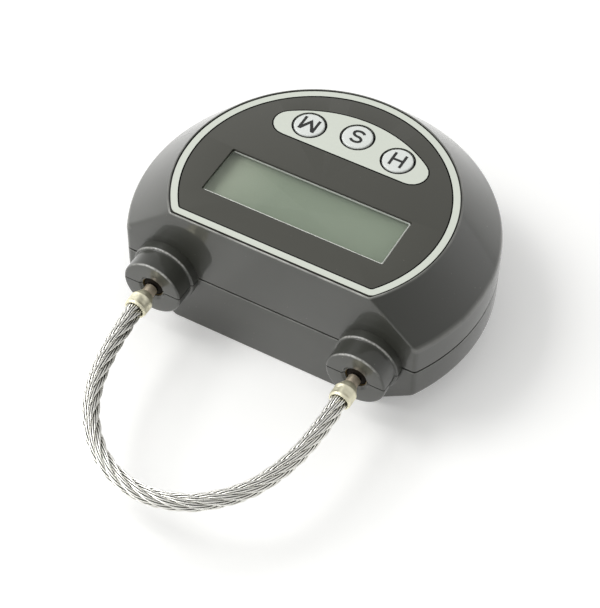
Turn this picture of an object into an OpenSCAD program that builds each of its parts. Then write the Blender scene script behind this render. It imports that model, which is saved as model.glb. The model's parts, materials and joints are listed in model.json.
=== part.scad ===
// Timer padlock: a round two-shell housing with a display and three keys, and a wire rope
// shackle whose free end is a steel pin, held by a motor-driven latch.
// Frame: the Z axis is the axis of the round housing, Z = 0 its back, +Z the display side,
// and -Y the flat side that the shackle leaves. Millimetres.

/* [Housing] */
// Diameter of the round housing
body_d = 62; // [60:1:76]
// Height from the back to the rim round the face
body_h = 25.4; // [25:0.2:34]
// Distance from the axis to the flat shackle wall
flat_y = 15.6; // [15.2:0.1:19]
// Wall thickness of both shells
wall = 2; // [1.6:0.1:2.6]
// Height of the parting line
seam_h = 11.7; // [11.4:0.1:14]
// Height where the upright band turns into the cone
crease_h = 17.5; // [16.5:0.1:19]
// Diameter of the rim round the face
face_d = 47.8; // [47.2:0.1:56]
// Diameter of the foot, where the lower cone ends
foot_d = 47.8; // [47.2:0.1:58]
// Height where the lower cone turns into the upright band
foot_crease_h = 6.2; // [5:0.1:7.5]
// Radius of the roundings between the band and both cones
crease_round = 1.6; // [0.4:0.1:2.4]
// Depth of the V-groove along the seam, in each shell
seam_groove = 0.3; // [0.1:0.05:0.4]
// Height of the lower shell's locating lip
lip_h = 1.2; // [0.8:0.1:1.6]

/* [Face] */
// Thickness of the printed face panel
panel_t = 0.5; // [0.3:0.05:0.8]
// How far the panel lies below the rim
panel_sink = 0.1; // [0.05:0.05:0.4]
// Width of the bare rim round the panel
rim_w = 0.4; // [0.3:0.05:0.8]
// Thickness of the housing plate behind the panel
plate_t = 1.8; // [1.6:0.1:2.4]
// Width of the display window
window_w = 33; // [26:0.5:34]
// Height of the display window, along Y
window_l = 10.1; // [8:0.1:11]
// Middle of the window, along Y
window_y = -3.15; // [-3.4:0.05:-2.6]
// How far the window's own edge flange reaches beyond the opening
window_flange = 1.3; // [0.8:0.1:1.5]

/* [Keys] */
// Diameter of a key cap
key_d = 5.3; // [4.6:0.1:6.4]
// Distance from the middle key to each outer key, along X
key_pitch = 8.3; // [7.6:0.1:9]
// Distance of the middle key from the axis, along Y
key_y = 14.4; // [13.6:0.1:15]
// How much nearer the axis the outer keys are
key_drop = 1.5; // [0:0.1:2]
// How far a cap stands above the panel
key_proud = 0.2; // [0.1:0.05:0.8]
// Travel of a key
key_travel = 0.3; // [0.2:0.05:0.4]

/* [Shackle] */
// Distance of each shackle collar from the middle, along X
collar_x = 18.9; // [18:0.1:21]
// Diameter of a collar
collar_d = 10.6; // [9:0.1:11.5]
// How far a collar stands out of the flat wall
collar_l = 5.35; // [4:0.05:8]
// Diameter of the step where a collar meets the wall
collar_step_d = 11.4; // [11:0.1:12]
// Length of that step
collar_step_l = 1.7; // [1:0.1:3]
// Diameter of the shackle pins
pin_d = 3.6; // [3:0.1:4.4]
// Diameter of a pin's neck in front of the collar
neck_d = 2.2; // [2.1:0.1:3]
// Length of the neck
neck_l = 1.5; // [1:0.1:3]
// Diameter of the crimped ferrules
ferrule_d = 3.9; // [3.7:0.1:5]
// Length of a ferrule
ferrule_l = 3.75; // [3.3:0.05:5]
// Diameter of the wire rope
rope_d = 3; // [2:0.1:3.6]

/* [Latch] */
// Distance of the latch from the axis, towards the shackle
latch_y = 10; // [9.9:0.1:10.6]
// Width of the latch along the pin
latch_w = 2.8; // [2.2:0.1:3]
// Travel of the latch
latch_travel = 3.6; // [3:0.1:4]
// Diameter of the pin's core in the latch groove
core_d = 2.3; // [1.8:0.1:2.6]
// Gear module of the rack and pinion
gear_m = 0.4; // [0.35:0.01:0.45]
// Number of teeth of the pinion
pinion_teeth = 12; // [10:1:14]
// Pressure angle of the teeth
gear_angle = 25; // [20:1:25]
// Thickness of the pinion
pinion_w = 1.8; // [1.4:0.1:2]
// Diameter of the gear motor's output shaft
shaft_d = 2; // [1.5:0.1:2.4]

/* [Motor and battery] */
// Width of the gear motor
motor_w = 12; // [10:0.5:13]
// Height of the gear motor
motor_h = 10; // [9:0.1:10]
// Length of the gearbox
gearbox_l = 9; // [7:0.5:10]
// Length of the motor can
can_l = 15; // [12:0.5:16]
// Distance of the motor's axis from the middle, along X
motor_x = 6; // [5:0.5:8]
// Width of the battery cell
cell_w = 14; // [11:0.5:14.5]
// Length of the battery cell
cell_l = 17; // [13:0.5:17.5]
// Thickness of the battery cell
cell_t = 6; // [4:0.5:7]

/* [Electronics] */
// Thickness of the circuit board
board_t = 1.2; // [1:0.1:1.6]
// Thickness of the display glass
glass_t = 2.3; // [2:0.1:2.8]
// Height of the display frame's base above the board
frame_h = 2.6; // [2.4:0.1:3]
// Bore of the charging socket
socket_bore_d = 2.6; // [2.5:0.1:2.8]
// Depth of the charging socket's bore
socket_bore_l = 9.5; // [8:0.5:10]

/* [Fasteners] */
// Diameter of the case screws
case_screw_d = 2; // [1.8:0.1:2.4]
// Diameter of the screws in the board and the motor clamp
small_screw_d = 1.6; // [1.4:0.1:1.8]

/* [Hidden] */
$fn = 96;

// Clearances
slide_gap = 0.15; // round a flat piece that slides
run_gap = 0.05;   // radial, round a pin or shaft that turns or slides in its bore
seat_gap = 0.02;  // radial, round a piece pushed into its seat
trim_gap = 0.1;   // round a window, a panel or a lip
eps = 0.01;

// Housing
body_r = body_d / 2;
inner_r = body_r - wall;
inner_flat = flat_y - wall;
face_r = face_d / 2;
cone_dr = body_r - face_r;
cone_dz = body_h - crease_h;
cone_len = sqrt(cone_dr * cone_dr + cone_dz * cone_dz);
// radius of the cone's inner face at a height
function cone_inner_r(z) =
    body_r - wall * cone_dz / cone_len
    - (z - crease_h + wall * cone_dr / cone_len) * cone_dr / cone_dz;
// height at which the cone's inner face meets the upright wall
cone_foot_z = crease_h - wall * cone_dr / cone_len
    + (wall - wall * cone_dz / cone_len) * cone_dz / cone_dr;
lip_w = wall / 2 - 0.1;
foot_r = foot_d / 2;
foot_dr = body_r - foot_r;
foot_stretch = sqrt(foot_dr * foot_dr + foot_crease_h * foot_crease_h) / foot_crease_h;
foot_edge = 0.3; // bevel round the foot
// radius at a height, and height at a radius, of a face that lies below the lower cone's skin
function foot_cone_r(depth, z) =
    body_r - depth * foot_stretch - (foot_crease_h - z) * foot_dr / foot_crease_h;
function foot_cone_z(depth, r) =
    foot_crease_h - (body_r - depth * foot_stretch - r) * foot_crease_h / foot_dr;
// arc that rounds a crease of the band, from below upwards; up is 1 at the face, -1 at the foot
function crease_arc(h, dr, dz, up) = let (lean = atan(dr / dz), r = crease_round)
    [for (i = [0 : 4]) let (a = (up > 0 ? i : 4 - i) * lean / 4)
        [body_r - r + r * cos(a), h + up * r * (sin(a) - tan(lean / 2))]];

// Face stack, from the rim downwards
rim_bevel = 0.12; // on the rim's outer edge
panel_top = body_h - panel_sink;
plate_top = panel_top - panel_t;
plate_z = plate_top - plate_t;
panel_r = face_r - rim_w;
panel_flat = flat_y - rim_w - 0.2;
window_top = panel_top - 0.2;
window_seat_z = plate_top - 0.8;
window_z = plate_z - 0.1;
lcd_w = window_w + 3;
lcd_l = window_l + 3.9;
lcd_z = window_z - glass_t;
lcd_frame_wall = 1.2;
board_top = lcd_z - frame_h;
board_z = board_top - board_t;
board_r = cone_inner_r(board_top) - 0.6;
board_flat = inner_flat - 0.6;
strip_w = 2;

// Keys: H, S and M from right to left
key_x = [key_pitch, 0, -key_pitch];
key_ys = [key_y - key_drop, key_y, key_y - key_drop];
key_hole_d = key_d + 0.3;
key_flange_d = key_d + 1.4;
key_flange_t = 0.8;
key_cap_z = plate_z - key_flange_t;
key_top = panel_top + key_proud;
switch_w = 6;
switch_h = 3.5;
plunger_d = 3.2;
plunger_well = 0.9; // depth of the plunger's well in its housing

// Bosses and screws
case_boss_r = 2.9;
case_boss_ring = body_r - wall - 2.4;
case_boss_angles = [-10, 42.5, 137.5, 190];
case_boss_top = crease_h + (body_r - case_boss_ring - case_boss_r) * cone_dz / cone_dr - 0.2;
case_head_d = 3.8;
case_head_h = 1.6;
case_seat_z = 6.5;
case_screw_l = 10.5;
board_boss_r = 1.8;
board_boss_x = [21.3, 11.5];
board_boss_y = [6.5, 20];
small_head_d = 3.4;
small_head_h = 1.3;
board_screw_l = 4.6;

// Shackle
collar_r = collar_d / 2;
collar_end = flat_y + collar_l;
collar_cap = 0.55; // wall left in front of the bush
collar_chamfer = 0.4;
pin_r = pin_d / 2;
pin_bore_r = pin_r + run_gap;
bush_r = pin_r + 1.1;
bush_flange_r = bush_r + 1;
bush_flange_t = 1.2;
core_r = core_d / 2;
groove_w = latch_w + 0.2;
pin_nose = latch_y - groove_w / 2 - 2.1;
neck_end = collar_end + neck_l;
ferrule_end = neck_end + ferrule_l;
spigot_r = 0.8;
spigot_l = 1.9;
ferrule_wall = 0.2; // left round the rope at the ferrule's mouth
clip_t = 0.6;
clip_r = pin_r + 1.4;
clip_y = inner_flat - bush_flange_t - clip_t;
// middle line of the rope's loop between the two ferrules
rope_loop = [[19, -29.2], [18.9, -32.3], [18.7, -35.3], [18.3, -38.3], [17.6, -41.3],
    [16.7, -44.1], [15.4, -46.9], [13.7, -49.4], [11.6, -51.6], [9.3, -53.5], [6.6, -54.9],
    [3.7, -55.8], [0.7, -56.1], [-2.4, -55.7], [-5.2, -54.8], [-7.9, -53.3], [-10.2, -51.4],
    [-12.3, -49.1], [-14, -46.7], [-15.4, -44], [-16.5, -41.1], [-17.3, -38.2],
    [-17.9, -35.2], [-18.3, -32.2], [-18.6, -29.2]];
rope_route = concat([[collar_x, -ferrule_end]], rope_loop, [[-collar_x, -ferrule_end]]);
rope_sides = 8;

// Latch, rack and pinion
bar_z = seam_h - 0.8;
bar_h = 3;
fork_half_h = 2.6;
fork_l = 4.3;
fork_tip = collar_x - pin_r - 0.3;
bar_x = motor_x - 6.5;
rack_z = bar_z - 1.25 * gear_m;
pinion_r = gear_m * pinion_teeth / 2;
pinion_z = rack_z - pinion_r;
tooth_pitch = PI * gear_m;
tooth_thin = 0.03; // taken off each flank for backlash
rack_teeth = 7;
guide_t = 0.75;
guide_x = [motor_x - 7, motor_x + 5.2];
guide_ledge = 0.5;
guide_foot_l = 3;
stake_r = 0.8;

// Motor: its shaft carries the pinion
motor_z = pinion_z - motor_h / 2;
gearbox_y = -latch_y + latch_w / 2 + slide_gap + guide_t;
can_y = gearbox_y + gearbox_l;
clamp_t = 0.9;
clamp_w = 5;
clamp_y = can_y + 3.7;
clamp_foot_l = 4;
clamp_foot_z = 6;
clamp_foot_t = 1.2;
clamp_screw_x = motor_w / 2 + clamp_t + 2.4;
post_r = 2;

// Battery
cell_x = motor_x - motor_w / 2 - 6 - cell_w;
cell_y = -5;
pad_t = 0.5;
pad_inset = 2;

// Charging socket, hung from the board
socket_w = 6;
socket_l = 9;
socket_h = 5.2;
socket_z = board_z - socket_h / 2;
socket_barrel_r = 2.2;
socket_face = body_r - 0.4;
socket_y = min(inner_r, cone_inner_r(board_z)) - 2.5 - socket_l;

// D-shaped block: a cylinder cut off flat at y = -flat
module d_block(r, flat, z0, z1) {
    intersection() {
        translate([0, 0, z0]) cylinder(r = r, h = z1 - z0);
        translate([-r - 1, -flat, z0 - 1]) cube([2 * r + 2, r + flat + 1, z1 - z0 + 2]);
    }
}

// D-shaped solid of revolution, from an outline of [radius, height] points
module d_revolve(outline, flat) {
    intersection() {
        rotate_extrude() polygon(outline);
        translate([-body_r - 1, -flat, -1]) cube([body_d + 2, body_r + flat + 1, body_h + 2]);
    }
}

// Places its children along the axis of one shackle collar: their +Z runs out of the flat wall
module on_collar(side) {
    translate([side * collar_x, 0, seam_h]) rotate([90, 0, 0]) children();
}

module at_case_bosses() {
    for (a = case_boss_angles)
        translate([case_boss_ring * cos(a), case_boss_ring * sin(a), 0]) children();
}

module at_board_bosses() {
    for (side = [-1, 1])
        for (i = [0, 1])
            translate([side * board_boss_x[i], board_boss_y[i], 0]) children();
}

module at_clamp_screws() {
    for (side = [-1, 1])
        translate([motor_x + side * clamp_screw_x, clamp_y + clamp_w / 2, 0]) children();
}

module at_guide_stakes() {
    for (x = [guide_x[0] - guide_foot_l / 2, guide_x[1] + guide_foot_l / 2])
        translate([x, -latch_y, 0]) children();
}

// Box centred in X and Y
module pad_box(w, l, h) {
    translate([-w / 2, -l / 2, 0]) cube([w, l, h]);
}

// Pan-head screw: the head's seat at z = 0, the shank upwards, the drive recess below
module screw(d, l, head_d, head_h) {
    difference() {
        rotate_extrude() polygon([[0, -head_h], [head_d / 2 - 0.5, -head_h],
            [head_d / 2, -head_h + 0.5], [head_d / 2, 0], [d / 2, 0], [d / 2, l - d / 2],
            [0.15, l], [0, l]]);
        for (a = [0, 90])
            rotate([0, 0, a]) translate([-head_d * 0.3, -0.2, -head_h - 1])
                cube([head_d * 0.6, 0.4, 1.7]);
    }
}

// Outside of both collars, before they are bored
module collar_outside() {
    for (side = [-1, 1])
        on_collar(side) rotate_extrude() polygon([[0, inner_flat + eps],
            [collar_step_d / 2, inner_flat + eps],
            [collar_step_d / 2, flat_y + collar_step_l - collar_chamfer],
            [collar_step_d / 2 - collar_chamfer, flat_y + collar_step_l],
            [collar_r, flat_y + collar_step_l], [collar_r, collar_end - collar_chamfer],
            [collar_r - collar_chamfer, collar_end], [0, collar_end]]);
}

// Bore of both collars: the bush's seat, and a smaller hole in front of it
module collar_bores() {
    for (side = [-1, 1])
        on_collar(side) {
            translate([0, 0, inner_flat - 1])
                cylinder(r = bush_r + seat_gap, h = collar_l + wall - collar_cap + 1);
            translate([0, 0, flat_y]) cylinder(r = pin_r + 0.15, h = collar_l + 1);
        }
}

module socket_hole() {
    translate([0, inner_r - 2, socket_z]) rotate([-90, 0, 0])
        cylinder(r = socket_barrel_r + trim_gap, h = wall + 4);
}

module half_space(above) {
    translate([-body_d, -body_d, above ? seam_h : -body_h])
        cube([2 * body_d, 2 * body_d, above ? body_h : seam_h + body_h]);
}

module lower_shell() {
    color([0.17, 0.17, 0.16]) difference() {
        union() {
            difference() {
                d_revolve(concat([[0, 0], [foot_r - foot_edge, 0],
                    [foot_cone_r(0, foot_edge), foot_edge]],
                    crease_arc(foot_crease_h, foot_dr, foot_crease_h, -1),
                    [[body_r, seam_h - seam_groove], [body_r - seam_groove, seam_h],
                    [0, seam_h]]), flat_y);
                d_revolve([[0, wall], [foot_cone_r(wall, wall), wall],
                    [inner_r, foot_cone_z(wall, inner_r)], [inner_r, seam_h + 1],
                    [0, seam_h + 1]], inner_flat);
            }
            difference() {
                d_block(inner_r + lip_w, inner_flat + lip_w, seam_h - 1, seam_h + lip_h);
                d_block(inner_r, inner_flat, seam_h - 2, seam_h + lip_h + 1);
            }
            intersection() {
                collar_outside();
                half_space(false);
            }
            intersection() {
                at_case_bosses() cylinder(r = case_boss_r, h = seam_h);
                d_revolve([[0, wall / 2], [foot_cone_r(wall / 2, wall / 2), wall / 2],
                    [inner_r + eps, foot_cone_z(wall / 2, inner_r + eps)],
                    [inner_r + eps, seam_h], [0, seam_h]], flat_y - wall / 2);
            }
            // rests under the motor and its gearbox
            for (y = [gearbox_y + 2, can_y + 2, can_y + can_l - 3])
                translate([motor_x - motor_w / 2 + 1, y, wall - eps])
                    cube([motor_w - 2, 1, motor_z - wall + eps]);
            // posts of the motor clamp
            at_clamp_screws() cylinder(r = post_r, h = clamp_foot_z);
            // heat stakes that hold the latch guide
            at_guide_stakes() {
                cylinder(r = stake_r, h = wall + 1.4);
                translate([0, 0, wall + 1]) cylinder(r = stake_r + 0.5, h = 0.6);
            }
            // saddles under the inner ends of both pins
            for (side = [-1, 1])
                translate([side * collar_x - 2.5, -pin_nose - 1.2, wall - eps])
                    cube([5, 0.9, seam_h - wall - pin_bore_r - 0.2]);
            // stop behind the lock pin's nose
            translate([collar_x - 2.5, -pin_nose + 0.3, wall - eps])
                cube([5, 1.2, seam_h - wall]);
            // fence round the battery cell
            translate([cell_x - 1.1, cell_y - 1.1, wall - eps]) difference() {
                cube([cell_w + 2.2, cell_l + 2.2, 1.8]);
                translate([1, 1, -1]) cube([cell_w + 0.2, cell_l + 0.2, 4]);
            }
        }
        collar_bores();
        at_case_bosses() {
            translate([0, 0, -1]) cylinder(r = case_head_d / 2 + 0.3, h = case_seat_z + 1);
            cylinder(r = case_screw_d / 2 + 0.15, h = body_h);
        }
        at_clamp_screws() translate([0, 0, wall + 0.6])
            cylinder(r = small_screw_d / 2 + seat_gap, h = clamp_foot_z);
        socket_hole();
    }
}

module upper_shell() {
    color([0.17, 0.17, 0.16]) difference() {
        union() {
            difference() {
                d_revolve(concat([[0, seam_h], [body_r - seam_groove, seam_h],
                    [body_r, seam_h + seam_groove]], crease_arc(crease_h, cone_dr, cone_dz, 1),
                    [[face_r + rim_bevel * cone_dr / cone_dz, body_h - rim_bevel],
                    [face_r - rim_bevel, body_h], [0, body_h]]), flat_y);
                d_revolve([[0, seam_h - 1], [inner_r, seam_h - 1], [inner_r, cone_foot_z],
                    [cone_inner_r(plate_z), plate_z], [0, plate_z]], inner_flat);
                d_block(inner_r + lip_w + trim_gap, inner_flat + lip_w + trim_gap,
                    seam_h - 1, seam_h + lip_h + trim_gap);
            }
            intersection() {
                difference() {
                    collar_outside();
                    d_block(inner_r + lip_w + trim_gap, inner_flat + lip_w + trim_gap,
                        seam_h - 1, seam_h + lip_h + trim_gap);
                }
                half_space(true);
            }
            intersection() {
                at_case_bosses() translate([0, 0, seam_h + eps])
                    cylinder(r = case_boss_r, h = case_boss_top - seam_h);
                union() {
                    d_block(inner_r - trim_gap, inner_flat, seam_h, seam_h + lip_h + 2 * trim_gap);
                    d_block(inner_r + eps, inner_flat, seam_h + lip_h + trim_gap, body_h);
                }
            }
            at_board_bosses() translate([0, 0, board_top])
                cylinder(r = board_boss_r, h = plate_z - board_top + eps);
        }
        // seat of the face panel
        d_block(panel_r + trim_gap, panel_flat + trim_gap, plate_top, body_h + 1);
        // window opening, and the seat of the window's flange behind it
        translate([0, window_y, plate_z - 1])
            pad_box(window_w + 2 * trim_gap, window_l + 2 * trim_gap, body_h);
        translate([0, window_y, plate_z - 1])
            pad_box(window_w + 2 * window_flange + 2 * trim_gap,
                window_l + 2 * window_flange + 2 * trim_gap, window_seat_z - plate_z + 1);
        for (i = [0 : 2])
            translate([key_x[i], key_ys[i], plate_z - 1]) cylinder(d = key_hole_d, h = body_h);
        collar_bores();
        at_case_bosses() translate([0, 0, seam_h - 1])
            cylinder(r = case_screw_d / 2 + seat_gap, h = case_seat_z + case_screw_l - seam_h + 1.4);
        at_board_bosses() translate([0, 0, board_top - 1])
            cylinder(r = small_screw_d / 2 + seat_gap, h = board_screw_l - board_t + 1.4);
        socket_hole();
    }
}

module face_panel() {
    color([0.20, 0.20, 0.19]) difference() {
        d_block(panel_r, panel_flat, plate_top, panel_top);
        translate([0, window_y, plate_top - 1])
            pad_box(window_w + 2 * trim_gap, window_l + 2 * trim_gap, panel_t + 2);
        for (i = [0 : 2])
            translate([key_x[i], key_ys[i], plate_top - 1])
                cylinder(d = key_hole_d, h = panel_t + 2);
    }
}

module display_window() {
    color([0.60, 0.66, 0.60, 0.5]) translate([0, window_y, 0]) union() {
        translate([0, 0, window_seat_z - eps])
            pad_box(window_w, window_l, window_top - window_seat_z + eps);
        translate([0, 0, window_z])
            pad_box(window_w + 2 * window_flange, window_l + 2 * window_flange,
                window_seat_z - window_z);
    }
}

// Two glass plates: the back one is wider, and carries the contacts
module lcd_glass() {
    color([0.52, 0.58, 0.52]) translate([0, window_y, lcd_z]) union() {
        pad_box(lcd_w, lcd_l, glass_t / 2);
        pad_box(lcd_w, lcd_l - 1.6, glass_t);
    }
}

module lcd_frame() {
    color([0.85, 0.85, 0.82]) translate([0, window_y, board_top]) difference() {
        pad_box(lcd_w + 2 * lcd_frame_wall, lcd_l + 2 * lcd_frame_wall,
            frame_h + glass_t - 0.1);
        translate([0, 0, frame_h])
            pad_box(lcd_w + 2 * trim_gap, lcd_l + 2 * trim_gap, glass_t + 1);
        translate([0, 0, -1]) pad_box(lcd_w - 1.8, lcd_l - 1.8, frame_h + 2);
    }
}

module zebra_strips() {
    color([0.85, 0.55, 0.60]) for (side = [-1, 1])
        translate([0, window_y + side * (lcd_l / 2 - 0.9 - strip_w / 2 - 0.05), board_top])
            pad_box(lcd_w - 2, strip_w, frame_h);
}

module circuit_board() {
    color([0.10, 0.35, 0.18]) difference() {
        d_block(board_r, board_flat, board_z, board_top);
        at_case_bosses() translate([0, 0, board_z - 1])
            cylinder(r = case_boss_r + 0.4, h = board_t + 2);
        at_board_bosses() translate([0, 0, board_z - 1])
            cylinder(r = small_screw_d / 2 + 0.2, h = board_t + 2);
    }
}

module switch_housings() {
    color([0.12, 0.12, 0.13]) for (i = [0 : 2])
        translate([key_x[i], key_ys[i], board_top]) difference() {
            pad_box(switch_w, switch_w, switch_h);
            translate([0, 0, switch_h - plunger_well])
                cylinder(d = plunger_d + 2 * run_gap, h = 2);
        }
}

// Flat package with leads on all four sides, on the underside of the board
module controller_chip() {
    size = 7;
    leads = 8;
    pitch = 0.75;
    color([0.08, 0.08, 0.09]) translate([-6, -4, board_z - 1.3]) union() {
        pad_box(size, size, 1.1);
        for (a = [0 : 90 : 270])
            rotate([0, 0, a]) for (i = [0 : leads - 1])
                translate([(i - (leads - 1) / 2) * pitch, size / 2, 0]) {
                    translate([-0.15, -0.2, 0.5]) cube([0.3, 0.7, 0.2]);
                    translate([-0.15, 0.3, 0.5]) cube([0.3, 0.2, 0.8]);
                    translate([-0.15, 0.3, 1.1]) cube([0.3, 0.6, 0.2]);
                }
    }
}

// Capacitors, resistors and the motor's driver, on the underside of the board
module board_parts() {
    parts = [[-14, -8, 3.2, 1.6], [-14, -4.5, 3.2, 1.6], [-15, 2, 2, 1.25], [4, 19, 2, 1.25],
        [-8, 8, 2, 1.25], [-11, 8, 2, 1.25], [14, 0, 4.4, 2.6], [20, -2, 2, 1.25]];
    color([0.55, 0.45, 0.30]) for (p = parts)
        translate([p[0], p[1], board_z - 1]) pad_box(p[2], p[3], 1);
}

module crystal_can() {
    color([0.75, 0.76, 0.78]) translate([-14, -11.2, board_z - 1.1])
        rotate([0, 90, 0]) translate([0, 0, -3]) cylinder(r = 1.1, h = 6);
}

module charge_socket() {
    color([0.10, 0.10, 0.10]) difference() {
        union() {
            translate([-socket_w / 2, socket_y, board_z - socket_h])
                cube([socket_w, socket_l, socket_h]);
            translate([0, socket_y + socket_l - 1, socket_z]) rotate([-90, 0, 0])
                cylinder(r = socket_barrel_r, h = socket_face - socket_y - socket_l + 1);
        }
        translate([0, socket_face - socket_bore_l, socket_z]) rotate([-90, 0, 0])
            cylinder(d = socket_bore_d, h = socket_bore_l + 1);
    }
}

module board_screws() {
    color("silver") at_board_bosses() translate([0, 0, board_z])
        screw(small_screw_d, board_screw_l, small_head_d, small_head_h);
}

module case_screws() {
    color("silver") at_case_bosses() translate([0, 0, case_seat_z])
        screw(case_screw_d, case_screw_l, case_head_d, case_head_h);
}

// Round can with two flats, its end bearing and its two terminals
module motor_can() {
    color([0.72, 0.73, 0.75]) translate([motor_x, can_y, pinion_z]) union() {
        intersection() {
            rotate([-90, 0, 0]) cylinder(d = motor_w, h = can_l);
            translate([-motor_w / 2, 0, -motor_h / 2]) cube([motor_w, can_l, motor_h]);
        }
        translate([0, can_l - eps, 0]) rotate([-90, 0, 0]) cylinder(r = 2, h = 0.8);
        for (side = [-1, 1])
            translate([side * 3.6 - 0.6, can_l - eps, -0.2]) cube([1.2, 1.6, 0.4]);
    }
}

// Two end plates with the gear case between them, and the output bearing's bore
module gearbox() {
    plate = 0.8;
    color([0.80, 0.68, 0.35]) difference() {
        union() {
            for (y = [gearbox_y, gearbox_y + gearbox_l - plate])
                translate([motor_x - motor_w / 2, y, motor_z]) cube([motor_w, plate, motor_h]);
            translate([motor_x - motor_w / 2 + 0.6, gearbox_y, motor_z + 0.6])
                cube([motor_w - 1.2, gearbox_l, motor_h - 1.2]);
        }
        translate([motor_x, gearbox_y - 1, pinion_z]) rotate([-90, 0, 0])
            cylinder(r = shaft_d / 2 + run_gap, h = 4);
    }
}

// Strap over the motor can, with a foot on each side
module motor_clamp() {
    half_w = motor_w / 2 + trim_gap;
    top = motor_z + motor_h;
    color([0.16, 0.16, 0.17]) translate([motor_x, clamp_y, 0]) difference() {
        union() {
            translate([-half_w - clamp_t, 0, top])
                cube([2 * (half_w + clamp_t), clamp_w, clamp_t]);
            for (side = [-1, 1]) {
                translate([side < 0 ? -half_w - clamp_t : half_w, 0, clamp_foot_z])
                    cube([clamp_t, clamp_w, top - clamp_foot_z + eps]);
                translate([side < 0 ? -half_w - clamp_t - clamp_foot_l : half_w, 0, clamp_foot_z])
                    cube([clamp_foot_l + clamp_t, clamp_w, clamp_foot_t]);
            }
        }
        for (side = [-1, 1])
            translate([side * clamp_screw_x, clamp_w / 2, 0])
                cylinder(r = small_screw_d / 2 + 0.15, h = body_h);
    }
}

module clamp_screws() {
    color("silver") at_clamp_screws() translate([0, 0, clamp_foot_z + clamp_foot_t])
        mirror([0, 0, 1]) screw(small_screw_d, 4, small_head_d, small_head_h);
}

// Bridge over the latch bar: two cheeks with a ledge each under the bar, a roof and two feet
module latch_guide() {
    half_w = latch_w / 2 + slide_gap;
    outer = half_w + guide_t;
    roof_z = bar_z + bar_h + slide_gap;
    length = guide_x[1] - guide_x[0];
    color([0.80, 0.80, 0.78]) translate([0, -latch_y, 0]) difference() {
        union() {
            difference() {
                translate([guide_x[0], -outer, wall])
                    cube([length, 2 * outer, roof_z + guide_t - wall]);
                translate([guide_x[0] - 1, -half_w, bar_z - run_gap])
                    cube([length + 2, 2 * half_w, roof_z - bar_z + run_gap]);
                translate([guide_x[0] - 1, -half_w + guide_ledge, wall - 1])
                    cube([length + 2, 2 * (half_w - guide_ledge), bar_z - wall + 1]);
                translate([guide_x[0] - 1, -half_w, wall - 1])
                    cube([length + 2, 2 * half_w, bar_z - 0.65 - wall + 1]);
            }
            translate([guide_x[0] - guide_foot_l, -outer, wall])
                cube([guide_foot_l + 0.7, 2 * outer, 1]);
            translate([guide_x[1] - 0.7, -outer, wall])
                cube([guide_foot_l + 0.7, 2 * outer, 1]);
        }
        for (x = [guide_x[0] - guide_foot_l / 2, guide_x[1] + guide_foot_l / 2])
            translate([x, 0, 0]) cylinder(r = stake_r + seat_gap, h = 8);
        translate([motor_x, half_w - 1, pinion_z]) rotate([-90, 0, 0])
            cylinder(r = shaft_d / 2 + 0.3, h = guide_t + 2);
    }
}

module battery_cell() {
    color([0.62, 0.65, 0.70]) translate([cell_x, cell_y, wall + pad_t]) union() {
        cube([cell_w, cell_l - 1.5, cell_t]);
        translate([0, cell_l - 1.6, 1]) cube([cell_w, 1.6, cell_t - 2]);
    }
}

module battery_pad() {
    color([0.90, 0.90, 0.88]) translate([cell_x + pad_inset, cell_y + pad_inset, wall])
        cube([cell_w - 2 * pad_inset, cell_l - 2 * pad_inset, pad_t]);
}

// Flanged bush in a collar: the flange bears on the inside of the flat wall
module bush(side) {
    on_collar(side) rotate_extrude() polygon([[pin_bore_r, inner_flat - bush_flange_t],
        [bush_flange_r, inner_flat - bush_flange_t], [bush_flange_r, inner_flat],
        [bush_r, inner_flat], [bush_r, collar_end - collar_cap],
        [pin_bore_r, collar_end - collar_cap]]);
}

module fixed_bush() {
    color([0.78, 0.70, 0.45]) bush(-1);
}

module lock_bush() {
    color([0.78, 0.70, 0.45]) bush(1);
}

// Outline of a pin from its nose outwards: the groove lies between two distances
module pin(side, nose, groove, groove_r) {
    on_collar(side) rotate_extrude() polygon([[0, nose], [pin_r - 0.8, nose],
        [pin_r, nose + 0.8], [pin_r, groove[0]], [groove_r, groove[0]], [groove_r, groove[1]],
        [pin_r, groove[1]], [pin_r, collar_end - 0.7], [neck_d / 2, collar_end - 0.3],
        [neck_d / 2, neck_end], [spigot_r, neck_end], [spigot_r, neck_end + spigot_l],
        [0, neck_end + spigot_l]]);
}

module lock_pin() {
    color([0.80, 0.80, 0.80])
        pin(1, pin_nose, [latch_y - groove_w / 2, latch_y + groove_w / 2], core_r);
}

module fixed_pin() {
    color([0.80, 0.80, 0.80])
        pin(-1, pin_nose, [clip_y - run_gap, clip_y + clip_t + run_gap], pin_r - 0.5);
}

// Open ring in the fixed pin's groove, against the bush's flange
module retaining_clip() {
    color([0.55, 0.55, 0.57]) on_collar(-1) translate([0, 0, clip_y]) difference() {
        cylinder(r = clip_r, h = clip_t);
        translate([0, 0, -1]) cylinder(r = pin_r - 0.5 + seat_gap, h = clip_t + 2);
        translate([-(pin_r - 0.6), 0, -1]) cube([2 * (pin_r - 0.6), clip_r + 1, clip_t + 2]);
    }
}

module ferrule(side) {
    r = ferrule_d / 2;
    on_collar(side) rotate_extrude() polygon([[spigot_r + seat_gap, neck_end],
        [neck_d / 2 + 0.1, neck_end], [r - 0.35, neck_end + 0.6], [r, neck_end + 1],
        [r, ferrule_end - 0.4], [rope_d / 2 + ferrule_wall, ferrule_end], [0, ferrule_end],
        [0, neck_end + spigot_l + 0.2], [spigot_r + seat_gap, neck_end + spigot_l + 0.2]]);
}

module fixed_ferrule() {
    color([0.85, 0.85, 0.83]) ferrule(-1);
}

module free_ferrule() {
    color([0.85, 0.85, 0.83]) ferrule(1);
}

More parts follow.
